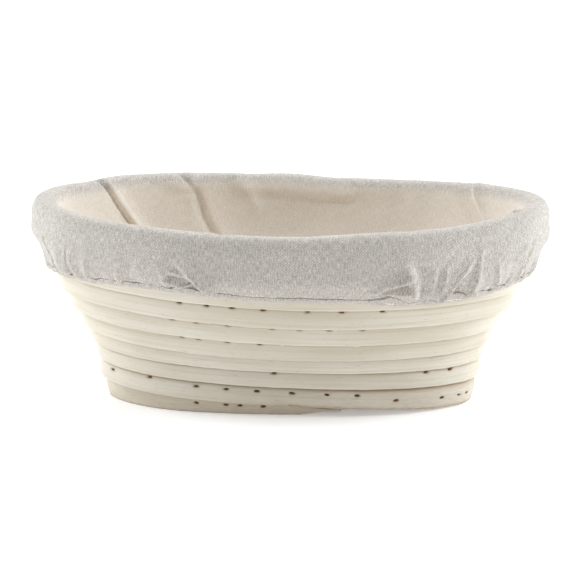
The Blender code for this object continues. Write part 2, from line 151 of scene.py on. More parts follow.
# Where the crease gapes: turn, half-width in millimetres and how wide it opens, from 0 to 1
GAPES = (
    (0.186, 1.4, 1.0), (0.161, 1.6, 1.0), (0.147, 1.1, 0.8), (0.131, 2.2, 0.8), (0.112, 1.0, 0.6),
    (0.0725, 1.8, 0.9), (0.054, 1.6, 0.6), (-0.0615, 2.4, 1.0), (-0.078, 1.8, 0.6), (-0.106, 1.5, 0.9),
    (-0.123, 1.3, 0.8), (-0.146, 1.3, 0.9), (-0.165, 1.1, 0.7), (-0.182, 1.2, 0.8),
)
# The rest of the cuff's section: outwards from the rim's outline, and up
CUFF_TOP = (
    (2.9, 73.5), (3.0, 79.0), (2.5, 84.6), (0.6, 87.9), (-3.2, 88.8), (-6.9, 87.7), (-8.8, 84.6),
    (-9.3, 80.0),
)
# The rows of cloth that follow each of its section's stations, and the stations that have names
STATION_ROWS = (3, 3, 3, 3, 3, 4, 3, 3, 4, 7, 8, 8, 6, 6, 6, 5, 5, 5, 4, 4, 4, 8, 9, 8, 8, 6, 4, 4, 4, 4)
STATIONS = np.concatenate([[0], np.cumsum(STATION_ROWS)])
HEM_LOW, HEM_MIDDLE, HEM_HIGH, CREASE, LIP = STATIONS[4:9]
CUFF_LOW, CREST, BAG_START, BAG_TOP, BAG_FOOT = STATIONS[[13, 17, 18, 20, 27]]
BAG_HEIGHTS = (76.0, 66.0, 55.0, 43.0, 32.0, BAG_FLOOR + BAG_FILLET)
FLOOR_TEXTURE_SHIFT = 900.0
JOIN_TURN = 0.75 - 5 / 48  # at the seam at the back right, where the weave's pattern meets itself
STITCH = (1.9, 0.8)  # length and gap
STITCH_RADIUS = 0.17
STITCH_SIDES = 6
# A stitch from end to end: share of its length, and its radius and height as shares of STITCH_RADIUS
STITCH_SHAPE = (
    (0.0, 0.25, -1.6), (0.04, 0.7, -0.9), (0.16, 1.0, 0.2), (0.5, 1.0, 0.7), (0.84, 1.0, 0.2),
    (0.96, 0.7, -0.9), (1.0, 0.25, -1.6),
)
ELASTIC_THICKNESS = 0.4
ELASTIC_DEPTH = 0.6  # inwards from the hem's outer layer

# Folds. A profile gives how far the cloth stands out by distance across the fold's line: to greater turns
# of a line that is listed downwards, above a line listed towards greater turns, and below one listed back.
ROLL = ((-6.0, 0.0), (-2.2, 0.8), (0.0, 2.1), (0.8, 0.8), (2.0, -1.3), (3.4, -1.1), (6.0, 0.0))
DROP = ((-8.0, 0.0), (-5.0, -0.8), (-2.8, -1.7), (-0.8, -0.9), (0.6, 1.0), (2.4, 2.2), (4.6, 1.2), (8.5, 0.0))
HOOD = ((-5.0, 0.0), (-1.8, 0.7), (0.0, 2.1), (0.6, 0.6), (1.5, -1.3), (3.2, -1.4), (6.0, 0.0))
SPUR = ((-9.5, 0.0), (-6.5, -1.2), (-3.2, -1.8), (-1.1, 0.6), (0.0, 2.4), (1.4, 1.0), (4.5, 0.0))
RIDGE = ((-3.2, 0.0), (-1.6, 0.4), (0.0, 1.5), (1.6, 0.4), (3.2, 0.0))
SOFT_RIDGE = ((-6.0, 0.0), (-3.0, 0.5), (0.0, 1.4), (3.0, 0.5), (6.0, 0.0))
VALLEY = ((-4.5, 0.0), (-2.6, 0.6), (-1.3, -0.5), (0.0, -1.3), (1.3, -0.5), (2.6, 0.6), (4.5, 0.0))
SOFT_VALLEY = ((-6.5, 0.0), (-3.0, -0.4), (0.0, -1.0), (3.0, -0.4), (6.5, 0.0))
SHARP_VALLEY = ((-2.6, 0.2), (-1.0, 0.0), (-0.4, -0.6), (0.0, -1.0), (0.4, -0.5), (1.0, 0.1), (2.6, 0.0))
SEAM_TUCK = (
    (-6.0, 0.0), (-2.0, -0.3), (-0.8, -0.9), (0.0, -1.9), (0.5, 0.1), (1.2, 1.5), (2.5, 1.6), (4.5, 0.6),
    (8.0, 0.0),
)
SEAM_RIDGE = (
    (-10.0, 0.0), (-5.0, -0.9), (-2.0, -1.2), (-0.8, -0.3), (0.0, 0.7), (1.0, 0.7), (2.6, 0.3), (5.0, 0.0),
)
SLIT = (
    (-2.6, 0.0), (-1.2, 0.4), (-0.4, -0.4), (0.0, -1.4), (0.5, -0.9), (1.1, 0.9), (2.1, 1.2), (3.8, 0.0),
)
DRAPE = (
    (-10.0, 0.0), (-4.5, 0.3), (-1.7, -0.6), (-0.5, -1.9), (0.0, -2.4), (0.8, -1.2), (2.2, 0.9), (4.2, 1.1),
    (7.0, 0.5), (12.0, 0.0),
)
SAG = ((-7.0, 0.0), (-2.6, 0.25), (-0.6, 0.0), (0.0, -0.5), (1.3, 0.8), (3.6, 1.6), (7.5, 0.8), (12.0, 0.0))

# The front's folds: the line, the profile, and its strength at the line's start and end
CUFF_FOLDS = (
    (((0.0640, 76.0), (0.0578, 71.8), (0.0520, 68.2), (0.0461, 65.0)), ROLL, (0.1, 1.15)),
    (((0.0690, 69.6), (0.0610, 68.3)), VALLEY, (1.1, 0.9)),
    (((0.0585, 66.0), (0.0528, 64.4)), VALLEY, (1.1, 1.3)),
    (((0.0980, 74.4), (0.0984, 67.4)), SOFT_VALLEY, (0.5, 0.9)),
    (((-0.0546, 64.8), (-0.0607, 66.2), (-0.0643, 67.2), (-0.0744, 69.2)), HOOD, (0.6, 1.0)),
    (((-0.0615, 65.0), (-0.0725, 65.9)), VALLEY, (0.8, 1.2)),
    (((-0.0745, 79.0), (-0.0790, 72.0), (-0.0835, 62.8)), DROP, (0.1, 1.1)),
    (((-0.0969, 70.3), (-0.0968, 64.0)), VALLEY, (0.7, 1.1)),
    (((-0.1200, 74.0), (-0.1113, 67.3), (-0.1061, 61.9), (-0.1023, 57.9)), SPUR, (0.3, 0.85)),
    (((-0.1288, 80.6), (-0.1275, 72.9), (-0.1267, 64.7), (-0.1252, 56.7)), RIDGE, (0.1, 1.4)),
    (((-0.1435, 71.5), (-0.1508, 59.2)), RIDGE, (0.2, 1.1)),
    (((-0.1736, 76.3), (-0.1732, 63.3)), SOFT_RIDGE, (0.3, 1.0)),
    (((-0.1830, 73.6), (-0.1800, 64.3)), VALLEY, (0.4, 1.2)),
    (((0.1540, 74.6), (0.1571, 65.8)), SHARP_VALLEY, (0.3, 1.2)),
    (((0.1880, 75.4), (0.1857, 69.5), (0.1833, 64.0)), SHARP_VALLEY, (0.5, 1.6)),
)
# Folds of the crest, by distance round the cloth instead of height, which carries on down the inner side
CREST_FOLDS = (
    (((-0.1905, 89.6), (-0.1815, 89.3)), SLIT, (1.0, 1.0)),
    (((0.0345, 88.8), (0.0492, 88.8)), SAG, (-0.25, -0.25)),
)
# The folds of the inner wall that the front shows
WALL_FOLDS = (
    (((0.3418, 92.0), (0.3580, 78.7), (0.3725, 68.1), (0.3820, 58.0), (0.3920, 45.0)), SEAM_TUCK, (0.6, 1.1)),
    (((0.4130, 91.1), (0.4298, 80.7), (0.4340, 72.0), (0.4418, 62.3), (0.4540, 50.0)), DRAPE, (0.25, 1.15)),
    (((0.3960, 82.6), (0.4230, 80.8)), SAG, (0.2, 0.6)),
    (((0.4600, 79.3), (0.4794, 78.9), (0.5184, 77.6), (0.5400, 78.2)), SAG, (0.5, 0.8)),
    (((0.4560, 89.0), (0.4650, 83.8), (0.4743, 74.0)), SOFT_RIDGE, (0.5, 0.8)),
    (((0.5779, 88.5), (0.5800, 78.7)), SOFT_VALLEY, (0.7, 0.5)),
    (
        ((0.6386, 91.9), (0.6481, 82.9), (0.6608, 74.3), (0.6740, 60.0), (0.6800, 45.0)),
        SEAM_RIDGE, (1.7, 1.4),
    ),
)
# The other two corner seams, and soft folds where no seam runs
HIDDEN_FOLDS = (
    (((0.1400, 85.0), (0.1460, 78.0), (0.1530, 62.0), (0.1580, 45.0)), SEAM_RIDGE, (0.2, 1.0)),
    (((0.8480, 85.0), (0.8540, 78.0), (0.8640, 60.0), (0.8700, 45.0)), SEAM_TUCK, (0.2, 1.0)),
    (((0.0400, 90.0), (0.0300, 70.0), (0.0180, 48.0)), DRAPE, (0.4, 0.8)),
    (((0.9300, 80.0), (0.9800, 78.0)), SAG, (0.6, 0.7)),
    (((0.2300, 88.0), (0.2400, 60.0)), SOFT_VALLEY, (0.8, 0.6)),
    (((0.7600, 88.0), (0.7500, 55.0)), SOFT_VALLEY, (0.6, 0.9)),
)
# The folds along the seams: left front, left back, right front and right back
SEAM_FOLDS = (HIDDEN_FOLDS[0], WALL_FOLDS[0], HIDDEN_FOLDS[1], WALL_FOLDS[-1])
# Gapes and folds of the cuff where the front doesn't show
FAR_GAPES = np.arange(0.21, 0.80, 0.0145)
FAR_FOLD_TURNS = np.arange(0.215, 0.795, 0.021)
FOLD_FADE = 4.5  # beyond a fold's ends
TALL_FOLD = 20.0
FOOT_FADE = 18.0  # below the lower end of the bag's tall folds
FOLD_KNEE = 1.6  # where the cuff's summed folds start to flatten
FOLD_SPARE = 1.2  # the most that they can add past that
CUFF_STRENGTH = 1.35
GATHER_DEPTH = 1.5
LEFT_TUCK = 1.6  # how much closer the cuff hugs the wall at the ends
RIGHT_TUCK = 0.9
BACK_LIFT = 1.8  # of the rim at the left of the back
FLOOR_RINGS = 14
# The floor's rumples: height, size, places of their noise across and up, and seed
FLOOR_RUMPLES = ((0.7, 17.0, 20.0, 8.0, 51), (0.3, 7.0, 30.0, 16.0, 52))
RUMPLE_HEIGHT = 0.9
CLOTH_LUMPS = ((0.40, 24.0, 21), (0.13, 9.0, 22))  # height, size and seed
RUFFLE = 0.28  # of the hem

# Colours, as linear light
RATTAN_LIGHT = (0.71, 0.66, 0.565)
RATTAN_DARK = (0.64, 0.58, 0.475)
RATTAN_STREAK = (0.56, 0.48, 0.355)
# Tan of the specks, and of the painted shade in the grooves under each cane's overhang
RATTAN_TAN_AND_SHADE = (0.36, 0.26, 0.155)
# Brown of the brads' stains and the reddish mark, and of the painted shade along the lowest row by the floor
RATTAN_STAIN_AND_SHADE = (0.30, 0.19, 0.10)
LINEN_LIGHT = (0.76, 0.71, 0.648)
LINEN_DARK = (0.41, 0.37, 0.328)
LINEN_SHADE = (0.39, 0.36, 0.328)
LINEN_GAP = (0.27, 0.24, 0.21)
# Painted bounce light: the bag's inside lighter and warmer than the cuff
LINEN_BAG_BOUNCE = (0.95, 0.862, 0.745)
LINEN_FLECK = (0.88, 0.85, 0.80)
LINEN_MAUVE = (0.55, 0.47, 0.50)
LINEN_GREEN = (0.50, 0.52, 0.43)
WEAVE_PITCH = 0.00066
TWILL_PITCH = 0.00135
THREAD_WANDER = (0.0005, 0.0005, 0.0)
BRAD_DARK = (0.050, 0.034, 0.024)
BRAD_RUST = (0.17, 0.075, 0.03)
THREAD_LIGHT = (0.80, 0.76, 0.69)
THREAD_DARK = (0.60, 0.55, 0.48)
ELASTIC_LIGHT = (0.82, 0.80, 0.76)
ELASTIC_DARK = (0.66, 0.63, 0.58)

# Light: the sky's strength, and each lamp's place, size, power and colour
SKY = 0.05
HORIZON = 0.42  # the sky's strength low down
FLOOR_GLOW = 0.33  # a light table, so that the floor stays pale round the basket
LIGHTS = (
    ("light_left", (-1.5, 0.12, 0.7), 1.3, 26.5, (0.93, 0.985, 1.04)),
    ("light_right", (1.5, 0.12, 0.7), 1.3, 28.5, (0.93, 0.985, 1.04)),
    ("light_back", (0.0, 1.6, 1.4), 1.8, 24.0, (1.0, 1.0, 1.0)),
    ("light_top", (0.0, 0.1, 2.0), 1.8, 21.0, (1.0, 1.0, 1.0)),
    ("light_front", (0.3, -1.1, 1.7), 1.6, 2.0, (1.0, 0.98, 0.95)),
)

# Camera
CAMERA_TARGET = Vector((0.0, 0.0, 0.040))
CAMERA_DISTANCE = 1.0
CAMERA_AZIMUTH = math.radians(1.81)
CAMERA_ELEVATION = math.radians(14.3)
CAMERA_AIM = Vector((-0.0009, 0.0024, 0.0494))
CAMERA_ROLL = math.radians(0.18)
LENS = 135.3


# Numbers

NOISE_ROWS = 64
CURVE_STEPS = 24  # between the points of a closed section


def smoothstep(share):
    share = np.clip(share, 0.0, 1.0)
    return share * share * (3.0 - 2.0 * share)


def waves(places, lowest, highest, seed):
    """Smooth variation from about -1 to 1 that repeats every turn, with lowest to highest waves a turn."""
    draw = np.random.default_rng(seed)
    total = np.zeros_like(places)
    for count in range(lowest, highest + 1):
        phase, size = draw.uniform(0.0, 2.0 * math.pi), draw.uniform(0.4, 1.0)
        total += size * np.sin(2.0 * math.pi * count * places + phase)
    return total / math.sqrt(highest - lowest + 1)


def patches(across, up, seed, period):
    """Smooth noise from -1 to 1, a bump about every unit. It repeats across every period, a whole number."""
    draw = np.random.default_rng(seed)
    rows = NOISE_ROWS
    grid = draw.uniform(-1.0, 1.0, (period, rows))
    column, row = np.floor(across).astype(int), np.floor(up).astype(int)
    right, above = smoothstep(across - column), smoothstep(up - row)
    c0, c1, r0, r1 = column % period, (column + 1) % period, row % rows, (row + 1) % rows
    lower = grid[c0, r0] * (1.0 - right) + grid[c1, r0] * right
    upper = grid[c0, r1] * (1.0 - right) + grid[c1, r1] * right
    return lower * (1.0 - above) + upper * above


def spline_rows(stations, counts):
    """Points on smooth curves through stations, an array of stations by curves by axes."""
    gaps = np.linalg.norm(np.diff(stations, axis=0), axis=-1).mean(axis=1)
    steps = np.diff(stations, axis=0) / gaps[:, None, None]
    slopes = np.concatenate([steps[:1], steps[:1].repeat(len(gaps) - 1, 0), steps[-1:]])
    for index in range(1, len(gaps)):
        before, after = gaps[index - 1], gaps[index]
        slopes[index] = (steps[index] * before + steps[index - 1] * after) / (before + after)
    rows = []
    for index, count in enumerate(counts):
        for share in np.arange(count) / count:
            rows.append(
                (2.0 * share**3 - 3.0 * share**2 + 1.0) * stations[index]
                + (share**3 - 2.0 * share**2 + share) * gaps[index] * slopes[index]
                + (3.0 * share**2 - 2.0 * share**3) * stations[index + 1]
                + (share**3 - share**2) * gaps[index] * slopes[index + 1]
            )
    rows.append(stations[-1])
    return np.stack(rows)


def distances(points):
    """How far along a line of points each of them lies."""
    return np.concatenate([[0.0], np.cumsum(np.linalg.norm(np.diff(points, axis=0), axis=1))])


def closed_section(points, count, emphasis=1.0):
    """A smooth closed outline as count points, closer together by emphasis on its outer side."""
    ring = np.array([*points, *points[:3]], float)[:, None, :]
    dense = spline_rows(ring, [CURVE_STEPS] * (len(ring) - 1))[:, 0]
    dense = dense[CURVE_STEPS : CURVE_STEPS * (len(points) + 1) + 1]
    lengths = np.linalg.norm(np.diff(dense, axis=0), axis=1)
    weights = np.where(dense[1:, 0] > 0.1, emphasis, 1.0)
    reach = np.concatenate([[0.0], np.cumsum(lengths * weights)])
    wanted = np.linspace(0.0, reach[-1], count, endpoint=False)
    return np.stack([np.interp(wanted, reach, dense[:, axis]) for axis in (0, 1)], axis=1)


# The basket's shape


def wall_inset(height):
    flare = BASE_INSET * (1.0 - smoothstep((height - FLARE_START) / (FLARE_END - FLARE_START)))
    return flare + TUCK * np.maximum(1.0 - height / TUCK_TOP, 0.0) ** 2


def wall_slope(height):
    return (wall_inset(height - 1.0) - wall_inset(height + 1.0)) / 2.0


def oval_points(turn, inset, height):
    """Points this far inside the rim's outline, and the outline's outward normal there."""
    angle = 2.0 * math.pi * turn
    x = -RIM_HALF_LENGTH * np.sin(angle)
    y = -RIM_HALF_WIDTH * np.cos(angle)
    normal_x, normal_y = x / RIM_HALF_LENGTH**2, y / RIM_HALF_WIDTH**2
    size = np.hypot(normal_x, normal_y)
    outward = np.stack([normal_x / size, normal_y / size, np.zeros_like(size)], axis=-1)
    squared = CORNER_FILL * np.sin(2.0 * angle) ** 2 - SIDE_FLAT * np.cos(angle) ** 4
    push = squared * (1.0 - smoothstep(height / SQUARED_TOP))
    points = np.stack([x, y, height + np.zeros_like(x)], axis=-1) - outward * (inset - push)[..., None]
    points[..., 2] += END_RISE * (points[..., 0] / RIM_HALF_LENGTH) ** 2 * height / RIM_HEIGHT
    return points, outward


def climb(fraction):
    steep = np.full_like(fraction, 0.5)
    for centre, made in ((0.0, 0.0), (1.0, 1.0)):
        share = (fraction - centre) / CLIMB_WIDTH
        rising = made + share + np.sin(2.0 * math.pi * share) / (2.0 * math.pi)
        steep = np.where(np.abs(share) < 0.5, rising, steep)
    return (1.0 - CLIMB_SHARE) * fraction + CLIMB_SHARE * steep


def row_edge(turn):
    edges = np.array(ROW_EDGES)
    row = np.maximum(np.floor(turn).astype(int), 0)
    return np.where(turn < 0.0, edges[0], edges[row] + (edges[row + 1] - edges[row]) * climb(turn - row))


def cane_frames(turn):
    """Centre, outward direction, upward direction and height of the wall cane's section at each turn."""
    low = np.maximum(row_edge(turn), 0.0)
    high = np.minimum(row_edge(turn + 1.0), RIM_HEIGHT)
    middle = (low + high) / 2.0
    slope = wall_slope(middle)
    tilt = TILT_SHARE * np.arctan(np.minimum(slope, STEEPEST_SLOPE))
    stretch = 1.0 + END_RISE / RIM_HEIGHT * np.sin(2.0 * math.pi * turn) ** 2
    height = (high - low) * (np.cos(tilt) + slope * np.sin(tilt)) * stretch - CANE_GAP
    height = height * np.maximum(smoothstep((turn - WALL_START) / START_TAPER), THINNEST_START)
    centre, outward = oval_points(turn, wall_inset(middle) + CANE_FACE * height, middle)
    reach_down = height * (0.5 * np.cos(tilt) + FOOT_ACROSS * np.sin(tilt))
    centre[:, 2] = np.maximum(centre[:, 2], reach_down + FOOT_CLEARANCE)
    up = np.array([0.0, 0.0, 1.0])
    cos, sin = np.cos(tilt)[:, None], np.sin(tilt)[:, None]
    return centre, outward * cos - up * sin, outward * sin + up * cos, height


# Meshes


def mesh_piece(name, points, faces, material, uvs=None):
    """A smooth-shaded mesh from points in millimetres. uvs holds each face's corners."""
    mesh = bpy.data.meshes.new(name)
    mesh.from_pydata((np.asarray(points) * MM).tolist(), [], faces)
    if uvs is not None:
        mesh.uv_layers.new(name="along").data.foreach_set("uv", np.asarray(uvs, np.float32).ravel())
    mesh.validate()
    mesh.shade_smooth()
    mesh.materials.append(material)
    piece = bpy.data.objects.new(name, mesh)
    bpy.context.scene.collection.objects.link(piece)
    return piece


def stand_in(piece, body, slot, *names):
    """Show a piece, which rides on a body, in place of the CAD nodes of these names."""
    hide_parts(*names)
    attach(piece, body)
    return piece


def point_values(piece, name, values):
    layer = piece.data.attributes.new(name, "FLOAT", "POINT")
    layer.data.foreach_set("value", np.asarray(values, np.float32).ravel())


def tube_faces(count, sides):
    """The quads of a tube of count rings, and its two caps."""
    ring, side = np.meshgrid(np.arange(count - 1), np.arange(sides), indexing="ij")
    after = (side + 1) % sides
    here, beyond = ring * sides, (ring + 1) * sides
    quads = np.stack((here + side, here + after, beyond + after, beyond + side), axis=-1)
    caps = [list(range(sides))[::-1], [(count - 1) * sides + side for side in range(sides)]]
    return quads.reshape(-1, 4).tolist() + caps


def tube_piece(name, rings, along, around, material):
    """Rings of points joined as a tube with closed ends."""
    count, sides, _ = rings.shape
    faces = tube_faces(count, sides)
    around = np.append(around, around[-1] + around[1] - around[0])
    uvs = []
    for face in faces[:-2]:
        start, side = divmod(face[0], sides)
        low, high = around[side], around[side + 1]
        uvs += [(along[start], low), (along[start], high), (along[start + 1], high), (along[start + 1], low)]
    for end, cap in ((0, faces[-2]), (count - 1, faces[-1])):
        uvs += [(along[end], around[corner % sides]) for corner in cap]
    return mesh_piece(name, rings.reshape(-1, 3), faces, material, uvs)


def stitches(name, points, outward, material):
    """Short thread capsules end to end along a line of points, in millimetres, bowed outwards."""
    reach = distances(points)
    pitch = sum(STITCH)
    shares, radii, bow = np.array(STITCH_SHAPE).T
    radii, bow = STITCH_RADIUS * radii, STITCH_RADIUS * bow
    angles = np.arange(STITCH_SIDES) * 2.0 * math.pi / STITCH_SIDES
    all_points, all_faces = [], []
    for start in np.arange(0.0, reach[-1] - pitch, pitch):
        places = start + shares * STITCH[0]
        line = np.stack([np.interp(places, reach, points[:, axis]) for axis in range(3)], axis=1)
        out = np.stack([np.interp(places, reach, outward[:, axis]) for axis in range(3)], axis=1)
        along = (line[-1] - line[0]) / np.linalg.norm(line[-1] - line[0])
        side = np.cross(out, along)
        line = line + out * bow[:, None]
        rings = line[:, None] + radii[:, None, None] * (
            np.cos(angles)[None, :, None] * out[:, None] + np.sin(angles)[None, :, None] * side[:, None]
        )
        base = len(all_points) * rings.shape[0] * rings.shape[1]
        all_points.append(rings.reshape(-1, 3))
        all_faces += [[base + corner for corner in face] for face in tube_faces(len(shares), len(angles))]
    return mesh_piece(name, np.concatenate(all_points), all_faces, material)


# Materials


def new_material(name):
    material = bpy.data.materials.new(name)
    material.use_nodes = True
    return material, material.node_tree, material.node_tree.nodes["Principled BSDF"]


def add_node(tree, kind, settings=(), **inputs):
    """A node with its settings and its inputs, each a value or another node's output."""
    node = tree.nodes.new(kind)
    for name, value in dict(settings).items():
        setattr(node, name, value)
    for name, value in inputs.items():
        numbered = name[0] == "i" and name[1:].isdigit()
        socket = node.inputs[int(name[1:])] if numbered else node.inputs[name.replace("_", " ")]
        if isinstance(value, bpy.types.NodeSocket):
            tree.links.new(value, socket)
        else:
            socket.default_value = value
    return node


def stretched_noise(tree, uv, scale, detail=2.0, roughness=0.5, seed=0.0):
    """Noise whose scale, in bumps a metre, differs along and across."""
    mapping = add_node(tree, "ShaderNodeMapping", Vector=uv, Scale=(*scale, 1.0), Location=(seed, seed, seed))
    where = mapping.outputs["Vector"]
    noise = add_node(tree, "ShaderNodeTexNoise", Vector=where, Scale=1.0, Detail=detail, Roughness=roughness)
    return noise.outputs["Fac"]


def spread(tree, value, low, high):
    """The value's range from low to high made 0 to 1."""
    return add_node(tree, "ShaderNodeMapRange", i0=value, i1=low, i2=high, i3=0.0, i4=1.0).outputs[0]


def maths(tree, operation, first, second=0.0, third=0.0):
    node = add_node(tree, "ShaderNodeMath", {"operation": operation}, i0=first, i1=second, i2=third)
    return node.outputs[0]


def mix_colour(tree, share, strength, first, second):
    """The first colour with share times strength of the second mixed in."""
    node = tree.nodes.new("ShaderNodeMix")
    node.data_type = "RGBA"
    amount = maths(tree, "MULTIPLY", share, strength)
    for socket, value in ((node.inputs[0], amount), (node.inputs[6], first), (node.inputs[7], second)):
        if isinstance(value, bpy.types.NodeSocket):
            tree.links.new(value, socket)
        else:
            socket.default_value = (*value, 1.0)
    return node.outputs[2]


def mix_layers(tree, colour, *layers):
    """The colour with each layer's colour mixed in by its share and strength."""
    for share, strength, layer_colour in layers:
        colour = mix_colour(tree, share, strength, colour, layer_colour)
    return colour


def finish_surface(tree, shader, colour, relief, strength, depth):
    """Give a shader its colour, and bumps this deep from the relief."""
    tree.links.new(colour, shader.inputs["Base Color"])
    bump = add_node(tree, "ShaderNodeBump", Strength=strength, Distance=depth, Height=relief)
    tree.links.new(bump.outputs["Normal"], shader.inputs["Normal"])


def attribute(tree, name):
    return add_node(tree, "ShaderNodeAttribute", {"attribute_name": name}).outputs["Fac"]


def uv_map(tree):
    return add_node(tree, "ShaderNodeUVMap", {"uv_map": "along"}).outputs["UV"]


def rattan_material():
    """Bare cane core: cream, with fibres and faint streaks along it, tan specks, painted tan shade in the
    grooves, brown stains, and painted brown shade along the lowest row.
    """
    material, tree, shader = new_material("rattan_cane")
    uv = uv_map(tree)
    fibres = stretched_noise(tree, uv, (60.0, 3200.0), 3.0, 0.6)
    streaks = stretched_noise(tree, uv, (14.0, 900.0), 2.0, 0.5, 3.1)
    clouds = stretched_noise(tree, uv, (16.0, 60.0), 2.0, 0.5, 7.7)
    specks = stretched_noise(tree, uv, (300.0, 2200.0), 1.0, 0.5, 5.3)
    colour = mix_colour(tree, spread(tree, clouds, 0.35, 0.65), 1.0, RATTAN_DARK, RATTAN_LIGHT)
    blotches = maths(tree, "MULTIPLY_ADD", spread(tree, specks, 0.35, 0.6), 0.5, 0.5)
    colour = mix_layers(
        tree, colour,
        (spread(tree, streaks, 0.52, 0.72), 0.42, RATTAN_STREAK),
        (spread(tree, fibres, 0.50, 0.78), 0.34, RATTAN_STREAK),
        (spread(tree, specks, 0.68, 0.76), 0.35, RATTAN_TAN_AND_SHADE),
        # painted shade in the grooves
        (attribute(tree, "groove_shade"), 0.75, RATTAN_TAN_AND_SHADE),
        # brads' stains and the reddish mark, and painted shade along the lowest row
        (maths(tree, "MULTIPLY", attribute(tree, "stain_and_shade"), blotches), 0.85, RATTAN_STAIN_AND_SHADE),
    )
    shader.inputs["Roughness"].default_value = 0.66
    shader.inputs["Specular IOR Level"].default_value = 0.25
    finish_surface(tree, shader, colour, maths(tree, "MULTIPLY_ADD", streaks, 0.8, fibres), 0.4, 0.00012)
    return material


def linen_material():
    """Unbleached linen: a plain weave with uneven threads, a few light flecks and faint patches of colour,
    and painted bounce light that makes the bag's inside lighter and warmer.
    """
    material, tree, shader = new_material("linen_weave")
    uv = uv_map(tree)
    wobble = add_node(tree, "ShaderNodeTexNoise", Vector=uv, Scale=260.0, Detail=1.0).outputs["Color"]
    shift = {"operation": "MULTIPLY_ADD"}
    moved = add_node(tree, "ShaderNodeVectorMath", shift, i0=wobble, i1=THREAD_WANDER, i2=uv)
    parts = add_node(tree, "ShaderNodeSeparateXYZ", Vector=moved.outputs["Vector"])
    across, up = parts.outputs["X"], parts.outputs["Y"]
    warp = maths(tree, "SINE", maths(tree, "MULTIPLY", across, math.pi / WEAVE_PITCH))
    weft = maths(tree, "SINE", maths(tree, "MULTIPLY", up, math.pi / WEAVE_PITCH))
    weave = maths(tree, "MULTIPLY_ADD", maths(tree, "MULTIPLY", warp, weft), 0.5, 0.5)
    slope = maths(tree, "ADD", across, up)
    twill = maths(tree, "SINE", maths(tree, "MULTIPLY", slope, 2.0 * math.pi / TWILL_PITCH))
    twill = maths(tree, "MULTIPLY_ADD", twill, 0.5, 0.5)
    upright = stretched_noise(tree, uv, (2300.0, 380.0), 1.0, 0.6)
    level = stretched_noise(tree, uv, (330.0, 2300.0), 1.0, 0.6, 5.0)
    clouds = stretched_noise(tree, uv, (120.0, 120.0), 2.0, 0.5, 2.0)
    tints = stretched_noise(tree, uv, (100.0, 100.0), 1.0, 0.5, 12.0)
    grain = stretched_noise(tree, uv, (1300.0, 1000.0), 1.0, 0.5, 9.0)
    threads = maths(tree, "MULTIPLY_ADD", upright, 0.65, maths(tree, "MULTIPLY", level, 0.35))
    colour = mix_colour(tree, spread(tree, threads, 0.38, 0.62), 1.0, LINEN_DARK, LINEN_LIGHT)
    colour = mix_layers(
        tree, colour,
        (spread(tree, tints, 0.55, 0.7), 0.10, LINEN_MAUVE),
        (spread(tree, tints, 0.45, 0.3), 0.10, LINEN_GREEN),
        (spread(tree, clouds, 0.35, 0.7), 0.16, LINEN_SHADE),
        (twill, 0.42, LINEN_SHADE),
        (spread(tree, weave, 0.4, 0.0), 0.40, LINEN_GAP),
        (spread(tree, grain, 0.64, 0.80), 0.65, LINEN_FLECK),
        # painted bounce light: the bag's inside lighter and warmer
        (attribute(tree, "bag"), 0.55, LINEN_BAG_BOUNCE),
    )
    shader.inputs["Roughness"].default_value = 0.95
    shader.inputs["Specular IOR Level"].default_value = 0.1
    shader.inputs["Sheen Weight"].default_value = 0.12
    shader.inputs["Sheen Roughness"].default_value = 0.5
    relief = maths(tree, "MULTIPLY_ADD", threads, 1.0, maths(tree, "MULTIPLY_ADD", twill, 0.35, weave))
    finish_surface(tree, shader, colour, relief, 0.6, 0.00025)
    return material


def brad_material():
    """Dark steel with rust."""
    material, tree, shader = new_material("rusty_brad")
    where = add_node(tree, "ShaderNodeTexCoord").outputs["Object"]
    rust = add_node(tree, "ShaderNodeTexNoise", Vector=where, Scale=900.0, Detail=3.0).outputs["Fac"]
    colour = mix_colour(tree, spread(tree, rust, 0.35, 0.65), 1.0, BRAD_DARK, BRAD_RUST)
    tree.links.new(colour, shader.inputs["Base Color"])
    tree.links.new(maths(tree, "MULTIPLY_ADD", rust, 0.5, 0.35), shader.inputs["Roughness"])
    shader.inputs["Metallic"].default_value = 0.35
    return material


def thread_material(name, light, dark):
    material, tree, shader = new_material(name)
    where = add_node(tree, "ShaderNodeTexCoord").outputs["Object"]
    twist = add_node(tree, "ShaderNodeTexNoise", Vector=where, Scale=1800.0, Detail=1.0).outputs["Fac"]
    colour = mix_colour(tree, spread(tree, twist, 0.35, 0.65), 1.0, dark, light)
    shader.inputs["Roughness"].default_value = 0.85
    shader.inputs["Specular IOR Level"].default_value = 0.2
    finish_surface(tree, shader, colour, twist, 0.4, 0.0001)
    return material


# Canes


def all_brads():
    """Every brad, as its place in turns along the spiral and its share of the cane's height."""
    brads = [(row + place, share) for row, share, places in BRAD_RUNS for place in places]
    draw = np.random.default_rng(3)
    for row, share in EXTRA_ROWS:
        for middle in EXTRA_MIDDLES:
            for step in (-1.5, -0.5, 0.5, 1.5):
                brads.append((row + middle + step * EXTRA_PITCH + draw.uniform(-0.005, 0.005), share))
    return brads


def turn_speed(turn):
    """Length of rim outline per turn, in millimetres."""
    angle = 2.0 * math.pi * turn
    return 2.0 * math.pi * np.hypot(RIM_HALF_LENGTH * np.cos(angle), RIM_HALF_WIDTH * np.sin(angle))


def ring_turns(first, last, brads):
    """Where a cane's rings lie, closer together at its brads and splinters."""
    turns = list(np.linspace(first, last, int((last - first) * turn_speed(0.125) / CANE_STEP)))
    for place in [brad[0] for brad in brads] + [splinter[0] for splinter in SPLINTERS]:
        reaches = np.array((0.0, 0.4, 0.8, 1.1, 1.4, 1.7, 2.1, 2.6)) / turn_speed(place)
        turns += [*(place + reaches), *(place - reaches)]
    return np.unique(np.round([turn for turn in turns if first <= turn <= last], 7))


